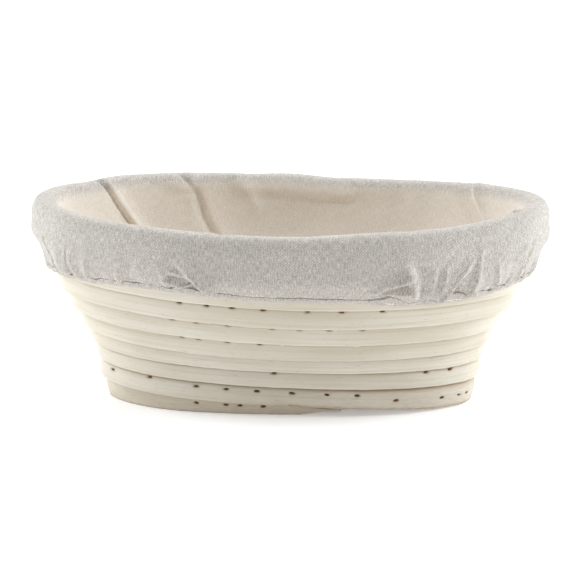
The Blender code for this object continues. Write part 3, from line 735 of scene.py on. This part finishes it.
def dent_press(turns, speed, up, height, brads):
    """How much of a brad's dent and of its brown staining reaches each point, each from 0 to 1."""
    press = np.zeros((len(turns), len(up)))
    stain_and_shade = np.zeros_like(press)
    for place, share in brads:
        near = np.abs(turns - place) < 0.02
        if not near.any():
            continue
        along = np.abs((turns[near] - place) * speed[near])[:, None]
        above = np.abs((up[None, :] - (share - 0.5)) * height[near][:, None])
        gap = np.hypot(along / DENT_HALF[0], above / DENT_HALF[1])
        press[near] = np.maximum(press[near], 1.0 - smoothstep((gap - 0.75) / 0.6))
        stain_and_shade[near] = np.maximum(stain_and_shade[near], 1.0 - smoothstep((gap - 0.8) / 1.2))
    return press, stain_and_shade


def cane_surface(number, turns, speed, height, section, outer, press):
    """How far outwards and up each point of a cane's rings lies from its section's centre."""
    across, up = section.T
    bulge = CANE_BULGE * waves(turns, 3, 17, 40 + number)
    sway = CANE_SWAY * waves(turns, 5, 31, 50 + number)
    lean = CANE_LEAN * waves(turns, 2, 13, 60 + number)
    ragged = CANE_RAGGED * waves(turns, 20, 90, 70 + number)
    ridges = np.zeros((len(turns), len(up)))
    for count, (middle, width, depth) in enumerate(FACE_RIDGES):
        wander = middle + RIDGE_WANDER * waves(turns, 1, 9, 80 + 10 * number + count)
        ridges += depth * np.exp(-(((up[None, :] - wander[:, None]) / width) ** 2))
    width = np.where(turns > TOP_END_START, np.maximum(height, TOP_END_WIDTH), height)
    out = across[None, :] * width[:, None] - (CANE_FACE * (width - height))[:, None]
    out = out + (out * bulge[:, None] + sway[:, None]) * outer[None, :]
    out = out - (press * DENT_DEPTH - ridges) * outer[None, :]
    low_edge = smoothstep((-up - 0.38) / 0.09) * outer
    rising = up[None, :] * height[:, None] + ragged[:, None] * low_edge[None, :]
    for place, reach, hang in SPLINTERS:
        torn = np.clip(1.0 - np.abs((turns - place) * speed) / reach, 0.0, 1.0)
        rising = rising - hang * torn[:, None] * low_edge[None, :]
    return out - rising * np.sin(lean)[:, None], rising


def cane_marks(piece, turns, speed, section, stain_and_shade):
    """How much painted groove shade each point has, and how much brown from stains, the reddish mark and
    painted shade along the lowest row.
    """
    across, up = section.T
    # Painted shade: each cane darker and tan at its top, under the overhang of the cane above, more on its
    # outer side, and at the inner part of its lower edge
    top = 0.35 * smoothstep((up - 0.24) / 0.16) + 0.65 * smoothstep((up - 0.36) / 0.08)
    groove_shade = top * (0.75 + 0.25 * np.sign(across)) + 0.5 * smoothstep((-up - 0.46) / 0.03) * (across < 0.3)
    point_values(piece, "groove_shade", np.tile(groove_shade, (len(turns), 1)))
    # Painted shade: the lowest row darker, most towards its lower edge by the floor
    first_row = 1.0 - smoothstep((turns - 0.98) / 0.08)
    foot_shade = first_row[:, None] * (0.22 + 0.55 * smoothstep((-up - 0.30) / 0.15))[None, :]
    mark = np.abs(turns - MARK[0]) * speed < MARK[1]
    red_mark = mark[:, None] * smoothstep((-up - 0.30) / 0.1)[None, :]
    point_values(piece, "stain_and_shade", np.maximum(np.maximum(stain_and_shade * 0.55, foot_shade), red_mark))


def wall_cane(number, first, last, brads, material):
    turns = ring_turns(first, last, brads)
    centre, face, rise, height = cane_frames(turns)
    speed = np.linalg.norm(np.gradient(centre, turns, axis=0), axis=1)
    section = closed_section(CANE_SECTION, SECTION_POINTS, OUTER_EMPHASIS)
    outer = smoothstep((section[:, 0] - 0.1) / 0.2)
    press, stain_and_shade = dent_press(turns, speed, section[:, 1], height, brads)
    out, rising = cane_surface(number, turns, speed, height, section, outer, press)
    rings = centre[:, None, :] + face[:, None, :] * out[..., None] + rise[:, None, :] * rising[..., None]
    rings[..., 2] = np.maximum(rings[..., 2], 0.0)
    along = distances(centre) + first * CANE_TEXTURE_SHIFT
    around = distances(section) * WALL_TEXTURE_HEIGHT
    piece = tube_piece(f"cane_wall_{number}", rings, along * MM, around * MM, material)
    cane_marks(piece, turns, speed, section, stain_and_shade * outer[None, :])
    stand_in(piece, "basket", "rattan", f"wall_cane_{number}")


def racetrack(reach, angle):
    """A point on the outline this far from the base's middle line: straight sides with half-round ends."""
    corner = math.pi / 3.0
    turned = math.remainder(angle, 2.0 * math.pi)
    side = abs(turned)
    if side <= corner:
        bend = side / corner * math.pi / 2.0
        x, y = BASE_CENTRE_REACH + reach * math.cos(bend), reach * math.sin(bend)
    elif side >= math.pi - corner:
        bend = (math.pi - side) / corner * math.pi / 2.0
        x, y = -BASE_CENTRE_REACH - reach * math.cos(bend), reach * math.sin(bend)
    else:
        x, y = BASE_CENTRE_REACH * (1.0 - 2.0 * (side - corner) / (math.pi - 2.0 * corner)), reach
    return np.array((x, math.copysign(y, turned), 0.0))


def base_point(reach, angle):
    edge = RIM_HALF_WIDTH - BASE_EDGE_INSET
    ellipse = np.array(((BASE_CENTRE_REACH + reach) * math.cos(angle), reach * math.sin(angle), 0.0))
    share = min(reach / edge, 1.0) ** BASE_ROUNDING
    return racetrack(reach, angle) * (1.0 - share) + ellipse * share


def base_cane(material):
    edge = RIM_HALF_WIDTH - BASE_EDGE_INSET
    section = closed_section(BASE_SECTION, 28)
    rings = []
    for index in range(round(BASE_TURNS * BASE_STEPS) + 1):
        turn = index / BASE_STEPS
        angle = -2.0 * math.pi * turn
        inner = max((turn - 0.5) * BASE_PITCH, -0.5 * BASE_PITCH)
        outer = min((turn + 0.5) * BASE_PITCH, edge)
        reach = max((inner + outer) / 2.0, 0.0)
        step = 0.05
        here = base_point(reach, angle)
        ahead = base_point(reach, angle + step) - base_point(reach, angle - step)
        across = np.array((ahead[1], -ahead[0], 0.0)) / math.hypot(ahead[0], ahead[1])
        spread_out = (base_point(reach + step, angle) - here) @ across / step
        width = (outer - inner) / BASE_PITCH * min(abs(spread_out), 1.0)
        lift = width * BASE_CANE_HEIGHT / 2.0
        out = section[:, :1] * width * (BASE_PITCH - CANE_GAP)
        up = section[:, 1:] * width * BASE_CANE_HEIGHT + lift
        rings.append(here + across * out + np.array([0.0, 0.0, 1.0]) * up)
    rings = np.array(rings)
    along, around = distances(rings.mean(axis=1)), distances(section) * BASE_TEXTURE_HEIGHT
    piece = tube_piece("cane_base", rings, along * MM, around * MM, material)
    # Painted shade on the base cane's sides, between its coils
    groove_shade = smoothstep((np.abs(section[:, 0]) - 0.36) / 0.14)
    point_values(piece, "groove_shade", np.tile(groove_shade, (len(rings), 1)))
    point_values(piece, "stain_and_shade", np.full(rings.shape[:2], BASE_STAIN))
    stand_in(piece, "basket", "rattan", "base_cane")


def brad_heads(brads, names):
    """The brads' oval heads, sunk in their dents, as one piece."""
    section = closed_section(CANE_SECTION, SECTION_POINTS, OUTER_EMPHASIS)
    outer = section[section[:, 0] > 0.15]
    outer = outer[np.argsort(outer[:, 1])]
    draw = np.random.default_rng(8)
    bows, sides = np.linspace(0.0, math.pi, 9)[1:-1], np.arange(12) * math.pi / 6.0
    across, around = np.meshgrid(bows, sides, indexing="ij")
    ball = [np.cos(across), np.sin(across) * np.cos(around), np.sin(across) * np.sin(around)]
    all_points, all_faces = [], []
    for place, share in brads:
        behind, here, ahead = (cane_frames(np.array([place + step])) for step in (-0.002, 0.0, 0.002))
        centre, face, rise, height = (value[0] for value in here)
        along = (ahead[0][0] - behind[0][0]) / np.linalg.norm(ahead[0][0] - behind[0][0])
        out = np.interp(share - 0.5, outer[:, 1], outer[:, 0]) * height - DENT_DEPTH + draw.uniform(0.05, 0.2)
        spot = centre + face * out + rise * (share - 0.5) * height
        tilt = draw.uniform(-0.25, 0.25)
        long_side = along * math.cos(tilt) + rise * math.sin(tilt)
        short_side = rise * math.cos(tilt) - along * math.sin(tilt)
        half = np.array(BRAD_HALF) * draw.uniform(0.85, 1.12, 3)
        axes = zip(ball, (long_side, short_side, face), half)
        rings = spot + sum(reach[..., None] * side * size for reach, side, size in axes)
        base = len(all_points) * across.size
        all_points.append(rings.reshape(-1, 3))
        all_faces += [[base + corner for corner in quad] for quad in tube_faces(*across.shape)]
    piece = mesh_piece("brad_heads", np.concatenate(all_points), all_faces, brad_material())
    stand_in(piece, "basket", "brad_steel", *names)


def build_canes(brad_names):
    material = rattan_material()
    brads = all_brads()
    starts = (WALL_START, *[end + JOINT_GAP for end in WALL_ENDS[:-1]])
    for number, (first, last) in enumerate(zip(starts, WALL_ENDS), 1):
        wall_cane(number, first, last, brads, material)
    base_cane(material)
    brad_heads(brads, brad_names)


# Liner


def wrapped(turns):
    return np.mod(turns + 0.5, 1.0) - 0.5


def from_table(turns, table):
    places, values = np.array(table).T
    return np.interp(wrapped(turns), places, values)


def fold_push(turns, heights, fold, end_fade=FOLD_FADE):
    """How far one fold stands out at each point, from the point's turn and height."""
    line, profile, (first, last) = fold
    speed = turn_speed(sum(turn for turn, _ in line) / len(line))
    corners = [((turn - line[0][0]) * speed, height) for turn, height in line]
    x = wrapped(turns - line[0][0]) * speed
    lengths = [math.hypot(x1 - x0, z1 - z0) for (x0, z0), (x1, z1) in zip(corners, corners[1:])]
    nearest = np.full(x.shape, np.inf)
    across, share, past = np.zeros(x.shape), np.zeros(x.shape), np.zeros(x.shape)
    for index, length in enumerate(lengths):
        (x0, z0), (x1, z1) = corners[index], corners[index + 1]
        dx, dz = (x1 - x0) / length, (z1 - z0) / length
        along = (x - x0) * dx + (heights - z0) * dz
        side = (heights - z0) * dx - (x - x0) * dz
        before, after = np.maximum(-along, 0.0), np.maximum(along - length, 0.0)
        before_line, after_line = before * (index == 0), after * (index == len(lengths) - 1)
        ends = before_line + after_line
        gap = np.hypot(side, before + after)
        closer = gap < nearest
        nearest = np.where(closer, gap, nearest)
        across = np.where(closer, np.copysign(np.hypot(side, before + after - ends), side), across)
        share = np.where(closer, (sum(lengths[:index]) + np.clip(along, 0.0, length)) / sum(lengths), share)
        past = np.where(closer, before_line / FOLD_FADE + after_line / end_fade, past)
    distances, pushes = np.array(profile).T
    strength = (first + (last - first) * share) * (1.0 - smoothstep(past))
    return np.interp(across, distances, pushes) * strength


def far_folds():
    """Folds up from the crease on the sides and back, like the front's."""
    draw = np.random.default_rng(77)
    folds = []
    for turn in FAR_FOLD_TURNS:
        foot = turn + draw.uniform(-0.008, 0.008)
        top = foot + draw.uniform(-0.012, 0.012)
        profile = (DROP, RIDGE, SPUR, VALLEY, HOOD)[draw.integers(5)]
        line = ((top, draw.uniform(67.0, 76.0)), (foot, 58.5))
        folds.append((line, profile, (0.2, draw.uniform(0.6, 1.3))))
    return folds


def gathers(turns, above, busy):
    """Small folds that rise from the crease, where the elastic draws the cloth in."""
    draw = np.random.default_rng(17)
    reach = np.concatenate([[0.0], np.cumsum(turn_speed(turns[1:, 0]) * np.diff(turns[:, 0]))])
    girth = reach[-1] + reach[1]
    push = np.zeros(turns.shape)
    place = 0.0
    while place < girth:
        size, width = draw.uniform(0.15, 1.0), draw.uniform(0.9, 2.0)
        length = draw.uniform(12.0, 20.0) if draw.random() < 0.2 else draw.uniform(4.0, 10.0)
        lean = draw.uniform(-0.3, 0.3)
        near = np.abs((reach - place + girth / 2.0) % girth - girth / 2.0) < 14.0
        aside = (reach[near] - place + girth / 2.0) % girth - girth / 2.0
        up = above[near]
        shape = np.exp(-(((aside[:, None] - lean * up) / (width * (1.0 + 0.06 * up))) ** 2))
        fade = smoothstep(1.0 - up / length) * smoothstep(up / 1.5 + 0.6)
        push[near] += size * shape * fade
        place += draw.uniform(2.4, 5.6)
    return GATHER_DEPTH * busy * (push - 0.35 * np.exp(-above / 6.0))


def cloth_stations(turns):
    """The cloth's section at each column, outwards and up, from inside the hem over the rim to the floor."""
    crease, hem = from_table(turns, CREASE_LINE), from_table(turns, HEM_LINE)
    busy = column_busy(turns)
    crease = crease + 0.22 * busy * waves(turns, 40, 110, 31)
    hem = np.minimum(hem + 0.15 * busy * waves(turns, 40, 110, 32), crease - 1.3)
    middle = (crease + hem) / 2.0
    gape = crease_gape(turns)
    casing = (
        (1.4, crease + 1.2), (1.4, middle), (1.5, hem + 0.45), (1.8, hem), (2.3, hem + 0.5), (2.45, middle),
    )
    stations = [(out - wall_inset(height), height) for out, height in casing]
    casing_top = np.maximum(crease - 0.45 - 0.9 * gape, middle + 0.15)
    stations.append((2.3 - wall_inset(crease - 0.45), casing_top))
    stations.append((1.75 - 0.3 * gape - wall_inset(crease), crease - 0.3 * gape))
    side = np.sin(2.0 * math.pi * turns)
    end = smoothstep((np.abs(side) - 0.8) / 0.2)
    tucked = end * np.where(side > 0.0, LEFT_TUCK, RIGHT_TUCK)
    lip_out, lip_height = 3.3 + 0.5 * gape - 0.4 * end - tucked - wall_inset(crease + 0.5), crease + 0.5
    stations.append((lip_out, lip_height))
    top_out, top_height = CUFF_TOP[0]
    for share in (0.12, 0.3, 0.55, 0.8):
        rise = share + (0.30 - 0.41 * end) * math.sin(math.pi * share)
        height = lip_height + (top_height - lip_height) * share
        stations.append((lip_out + (top_out - lip_out) * rise, height))
    stations += CUFF_TOP
    stations += [(-(wall_inset(height) + BAG_CLEARANCE), height) for height in BAG_HEIGHTS]
    foot = wall_inset(BAG_FLOOR + BAG_FILLET) + BAG_CLEARANCE + BAG_FILLET
    for bend in np.radians((22.0, 45.0, 68.0, 90.0)):
        stations.append((BAG_FILLET * math.cos(bend) - foot, BAG_FLOOR + BAG_FILLET * (1.0 - math.sin(bend))))
    flat = np.zeros_like(turns)
    return np.stack([np.stack([out + flat, height + flat], axis=-1) for out, height in stations])


def crease_gape(turns):
    """How wide the crease gapes at each column, from 0 to 1: where listed, and at random on the far side."""
    draw = np.random.default_rng(61)
    gape = np.zeros_like(turns)
    far = []
    for turn in FAR_GAPES:
        far.append((turn + draw.uniform(-0.006, 0.006), draw.uniform(0.8, 1.8), draw.uniform(0.3, 1.0)))
    for turn, reach, size in (*GAPES, *far):
        aside = wrapped(turns - turn) * turn_speed(turn) / reach
        gape = np.maximum(gape, size * np.exp(-(aside**2)))
    return gape


def column_busy(turns):
    """How gathered the cuff is: little in the middle of the front."""
    return 0.25 + 0.75 * smoothstep((np.abs(wrapped(turns)) - 0.045) / 0.07)


def fold_pushes(turns, height, along):
    """How far the folds and gathers stand out at each point of the cloth, by columns and rows."""
    index = np.arange(height.shape[1])[None, :]
    on_cuff = 1.0 - smoothstep((index - CREST + 4) / 8.0)
    push = np.zeros_like(height)
    for fold in CUFF_FOLDS:
        push += CUFF_STRENGTH * on_cuff * fold_push(turns, height, fold)
    for fold in far_folds():
        push += on_cuff * fold_push(turns, height, fold)
    above_crease = np.maximum(height - height[:, CREASE][:, None], 0.0)
    push += on_cuff * gathers(turns, above_crease, column_busy(turns))
    push = np.minimum(push, FOLD_KNEE + FOLD_SPARE * np.tanh(np.maximum(push - FOLD_KNEE, 0.0) / FOLD_SPARE))
    for fold in WALL_FOLDS + HIDDEN_FOLDS:
        tall = fold[0][0][1] - fold[0][-1][1] > TALL_FOLD
        push += (1.0 - on_cuff) * fold_push(turns, height, fold, FOOT_FADE if tall else FOLD_FADE)
    over_crest = along - along[:, CREST][:, None] + height[:, CREST][:, None]
    for fold in CREST_FOLDS:
        push += fold_push(turns, over_crest, fold)
    return push


def cloth_grid():
    """The cloth's middle surface as columns by rows of points, and the places that the points have on it."""
    turns = JOIN_TURN + np.arange(CLOTH_COLUMNS) / CLOTH_COLUMNS
    rows = spline_rows(cloth_stations(turns), STATION_ROWS).transpose(1, 0, 2)
    index = np.arange(rows.shape[1])[None, :]
    tangent = np.gradient(rows, axis=1)
    tangent /= np.linalg.norm(tangent, axis=2)[..., None]
    out, height = rows[..., 0], rows[..., 1]
    turn_grid = np.repeat(turns[:, None], rows.shape[1], axis=1)
    along = np.cumsum(np.linalg.norm(np.diff(rows, axis=1, prepend=rows[:, :1]), axis=2), axis=1)
    arc = np.concatenate([[0.0], np.cumsum(turn_speed(turns[1:]) / CLOTH_COLUMNS)])
    girth = arc[-1] + arc[1]
    push = fold_pushes(turn_grid, height, along)
    for size, unit, seed in CLOTH_LUMPS:
        units = round(girth / unit)
        push += size * patches(arc[:, None] / girth * units, along / unit, seed, units)
    ruffles = column_busy(turns) * np.maximum(RUFFLE * (0.8 + waves(turns, 60, 140, 33)), 0.0)
    hem_push = ruffles + 0.4 * np.clip(push[:, LIP], -0.4, 1.5)
    onto_cuff = smoothstep((index - HEM_HIGH) / (LIP + 2 - HEM_HIGH))
    lift = BACK_LIFT * smoothstep((turns - 1.33) / 0.05) * (1.0 - smoothstep((turns - 1.49) / 0.04))
    raised = lift[:, None] * smoothstep((height - 68.0) / 18.0)
    out = out + hem_push[:, None] * (1.0 - onto_cuff) + tangent[..., 1] * push * onto_cuff
    height = height - tangent[..., 0] * push * onto_cuff + raised
    wall = -wall_inset(height)
    over_wall = (index > LIP) & (index <= CUFF_LOW)
    out = np.where(over_wall, np.maximum(out, wall + 1.3), out)
    canes_inside = CANE_INSIDE + CANE_INSIDE_TILTED * wall_slope(height)
    out = np.where(index >= BAG_TOP, np.minimum(out, wall - canes_inside), out)
    points, outward = oval_points(turn_grid, -out, height)
    return SimpleNamespace(points=points, outward=outward, arc=arc, along=along, height=height)


def liner_floor(edge):
    """Rings of points from the cloth's lowest edge to the basket's middle line."""
    rings = []
    for share in np.linspace(1.0, 0.0, FLOOR_RINGS + 1)[1:]:
        ring = edge.copy()
        middle_x = edge[:, 0] * BASE_CENTRE_REACH / (RIM_HALF_LENGTH - BAG_CLEARANCE - 20.0)
        ring[:, 0] = middle_x + (edge[:, 0] - middle_x) * share
        ring[:, 1] = edge[:, 1] * share
        rumple = np.zeros(len(ring))
        for part, size, across, up, seed in FLOOR_RUMPLES:
            rumple += part * patches(ring[:, 0] / size + across, ring[:, 1] / size + up, seed, NOISE_ROWS)
        ring[:, 2] = edge[:, 2] * share + (BAG_FLOOR + RUMPLE_HEIGHT) * (1.0 - share)
        ring[:, 2] += RUMPLE_HEIGHT * np.maximum(rumple, -0.8) * smoothstep((1.0 - share) * 6.0)
        rings.append(ring)
    return np.stack(rings, axis=1)


def close_floor(mesh):
    """Join the floor's two sides along its middle line."""
    body = bmesh.new()
    body.from_mesh(mesh)
    top = 2.0 * BAG_FLOOR * MM
    middle = [vertex for vertex in body.verts if abs(vertex.co.y) < 1e-6 and vertex.co.z < top]
    bmesh.ops.remove_doubles(body, verts=middle, dist=1e-5)
    body.to_mesh(mesh)
    body.free()


def liner_cloth(material, grid):
    arc, along = grid.arc, grid.along
    points = np.concatenate([grid.points, liner_floor(grid.points[:, -1])], axis=1)
    columns, rows = points.shape[:2]
    column, row = np.meshgrid(np.arange(columns), np.arange(rows - 1), indexing="ij")
    after = (column + 1) % columns
    corners = ((column, row), (column, row + 1), (after, row + 1), (after, row))
    quads = np.stack([across * rows + up for across, up in corners], axis=-1)
    uvs = []
    for across, up in corners:
        level = np.minimum(up, along.shape[1] - 1)
        round_place = np.stack([arc[across], along[across, level]], axis=-1)
        if across is after:
            round_place[-1, :, 0] = arc[-1] + arc[1]
        flat_place = points[across, up, :2] + FLOOR_TEXTURE_SHIFT
        uvs.append(np.where((row >= BAG_FOOT)[..., None], flat_place, round_place))
    uvs = np.stack(uvs, axis=2) * MM
    faces = quads.reshape(-1, 4).tolist()
    piece = mesh_piece("liner_cloth", points.reshape(-1, 3), faces, material, uvs.reshape(-1, 2))
    # Where the bag's inside is painted lighter and warmer, as bounce light
    inner = smoothstep((np.arange(rows) - BAG_START) / 6.0)
    point_values(piece, "bag", np.tile(inner, (columns, 1)))
    close_floor(piece.data)
    skin = piece.modifiers.new("thickness", "SOLIDIFY")
    skin.thickness = CLOTH * MM
    skin.offset = 0.0
    panels = ("liner_centre_panel", "liner_end_panel_left", "liner_end_panel_right")
    return stand_in(piece, "liner", "linen", *panels, "liner_cuff", "rim_seam_thread")


def hem_stitches(material, grid):
    out = grid.outward[:, HEM_HIGH]
    line = grid.points[:, HEM_HIGH] + out * (CLOTH / 2.0)
    line, out = np.concatenate([line, line[:1]]), np.concatenate([out, out[:1]])
    return stand_in(stitches("hem_stitches", line, out, material), "liner", "thread", "hem_thread")


def seam_stitches(material, grid):
    """Stitches down the four corner seams of the bag, on its inside."""
    rows = np.arange(BAG_START, BAG_FOOT)
    pieces = []
    for fold in SEAM_FOLDS:
        seam_turns, seam_heights = np.array(fold[0]).T
        seam = np.interp(grid.height[0, rows], seam_heights[::-1], seam_turns[::-1])
        place = np.mod(seam - 0.9 / turn_speed(seam_turns[0]) - JOIN_TURN, 1.0) * CLOTH_COLUMNS
        low = np.floor(place).astype(int) % CLOTH_COLUMNS
        high, share = (low + 1) % CLOTH_COLUMNS, (place - np.floor(place))[:, None]
        line = grid.points[low, rows] * (1.0 - share) + grid.points[high, rows] * share
        out = -grid.outward[low, rows]
        pieces.append(stitches("seam_stitches", line + out * (CLOTH / 2.0), out, material))
    with bpy.context.temp_override(active_object=pieces[0], selected_editable_objects=pieces):
        bpy.ops.object.join()
    names = [f"seam_thread_{side}_{end}" for side in ("left", "right") for end in ("front", "back")]
    return stand_in(pieces[0], "liner", "thread", *names)


def elastic_tape(material, grid):
    """The elastic inside the hem: a flat ring between the hem's two layers."""
    points, out = grid.points, grid.outward[:, HEM_MIDDLE]
    centre = points[:, HEM_MIDDLE] - out * ELASTIC_DEPTH
    tall = np.maximum((points[:, HEM_HIGH, 2] - points[:, HEM_LOW, 2]) / 2.0 - 0.15, 0.3)
    corners = np.array([(-1.0, -1.0), (1.0, -1.0), (1.0, 1.0), (-1.0, 1.0)])
    rings = centre[:, None] + out[:, None] * corners[None, :, :1] * ELASTIC_THICKNESS / 2.0
    rings[..., 2] += corners[None, :, 1] * tall[:, None]
    columns = len(rings)
    column, side = np.meshgrid(np.arange(columns), np.arange(4), indexing="ij")
    after, next_side = (column + 1) % columns, (side + 1) % 4
    quads = (column * 4 + side, column * 4 + next_side, after * 4 + next_side, after * 4 + side)
    faces = np.stack(quads, axis=-1).reshape(-1, 4).tolist()
    piece = mesh_piece("elastic_tape", rings.reshape(-1, 3), faces, material)
    return stand_in(piece, "liner", "elastic", "elastic_band")


def build_liner():
    grid = cloth_grid()
    thread = thread_material("sewing_thread", THREAD_LIGHT, THREAD_DARK)
    cloth = liner_cloth(linen_material(), grid)
    others = [
        hem_stitches(thread, grid),
        seam_stitches(thread, grid),
        elastic_tape(thread_material("woven_elastic", ELASTIC_LIGHT, ELASTIC_DARK), grid),
    ]


# Scene


def build_stage():
    scene = bpy.context.scene
    bpy.ops.mesh.primitive_plane_add(size=12.0)
    floor = bpy.context.active_object
    floor.name = "floor"
    material, _, shader = new_material("floor_white")
    shader.inputs["Base Color"].default_value = (0.88, 0.88, 0.88, 1.0)
    shader.inputs["Roughness"].default_value = 0.9
    shader.inputs["Specular IOR Level"].default_value = 0.0
    shader.inputs["Emission Color"].default_value = (1.0, 1.0, 1.0, 1.0)
    shader.inputs["Emission Strength"].default_value = FLOOR_GLOW
    floor.data.materials.append(material)
    world = bpy.data.worlds.new("studio")
    scene.world = world
    world.use_nodes = True
    tree = world.node_tree
    direction = add_node(tree, "ShaderNodeTexCoord").outputs["Generated"]
    level = add_node(tree, "ShaderNodeSeparateXYZ", Vector=direction).outputs["Z"]
    glow = add_node(tree, "ShaderNodeMapRange", i0=level, i1=0.12, i2=0.32, i3=HORIZON, i4=SKY).outputs[0]
    tree.links.new(glow, tree.nodes["Background"].inputs["Strength"])
    tree.nodes["Background"].inputs["Color"].default_value = (1.0, 1.0, 1.0, 1.0)
    for name, place, size, power, colour in LIGHTS:
        data = bpy.data.lights.new(name, "AREA")
        data.shape = "SQUARE"
        data.size = size
        data.energy = power
        data.color = colour
        lamp = bpy.data.objects.new(name, data)
        lamp.location = place
        lamp.rotation_euler = (Vector((0.0, 0.0, 0.05)) - Vector(place)).to_track_quat("-Z", "Y").to_euler()
        scene.collection.objects.link(lamp)


def build_camera():
    level = math.cos(CAMERA_ELEVATION)
    sideways, forward = math.sin(CAMERA_AZIMUTH) * level, -math.cos(CAMERA_AZIMUTH) * level
    away = Vector((sideways, forward, math.sin(CAMERA_ELEVATION)))
    data = bpy.data.cameras.new("camera")
    data.lens = LENS
    data.clip_end = 20.0
    camera = bpy.data.objects.new("camera", data)
    place = CAMERA_TARGET + away * CAMERA_DISTANCE
    facing = (CAMERA_AIM - place).to_track_quat("-Z", "Y").to_matrix().to_4x4()
    camera.matrix_world = Matrix.Translation(place) @ facing @ Matrix.Rotation(CAMERA_ROLL, 4, "Z")
    bpy.context.scene.collection.objects.link(camera)
    bpy.context.scene.camera = camera


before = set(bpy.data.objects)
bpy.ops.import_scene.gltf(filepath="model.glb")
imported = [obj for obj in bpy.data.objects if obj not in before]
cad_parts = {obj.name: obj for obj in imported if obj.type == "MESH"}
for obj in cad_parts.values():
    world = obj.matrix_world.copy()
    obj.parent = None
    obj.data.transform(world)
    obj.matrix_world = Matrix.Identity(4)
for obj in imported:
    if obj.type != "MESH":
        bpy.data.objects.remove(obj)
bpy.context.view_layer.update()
bpy.context.scene.view_settings.view_transform = "Standard"
build_camera()
build_stage()
build_canes([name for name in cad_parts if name.startswith("brad")])
build_liner()
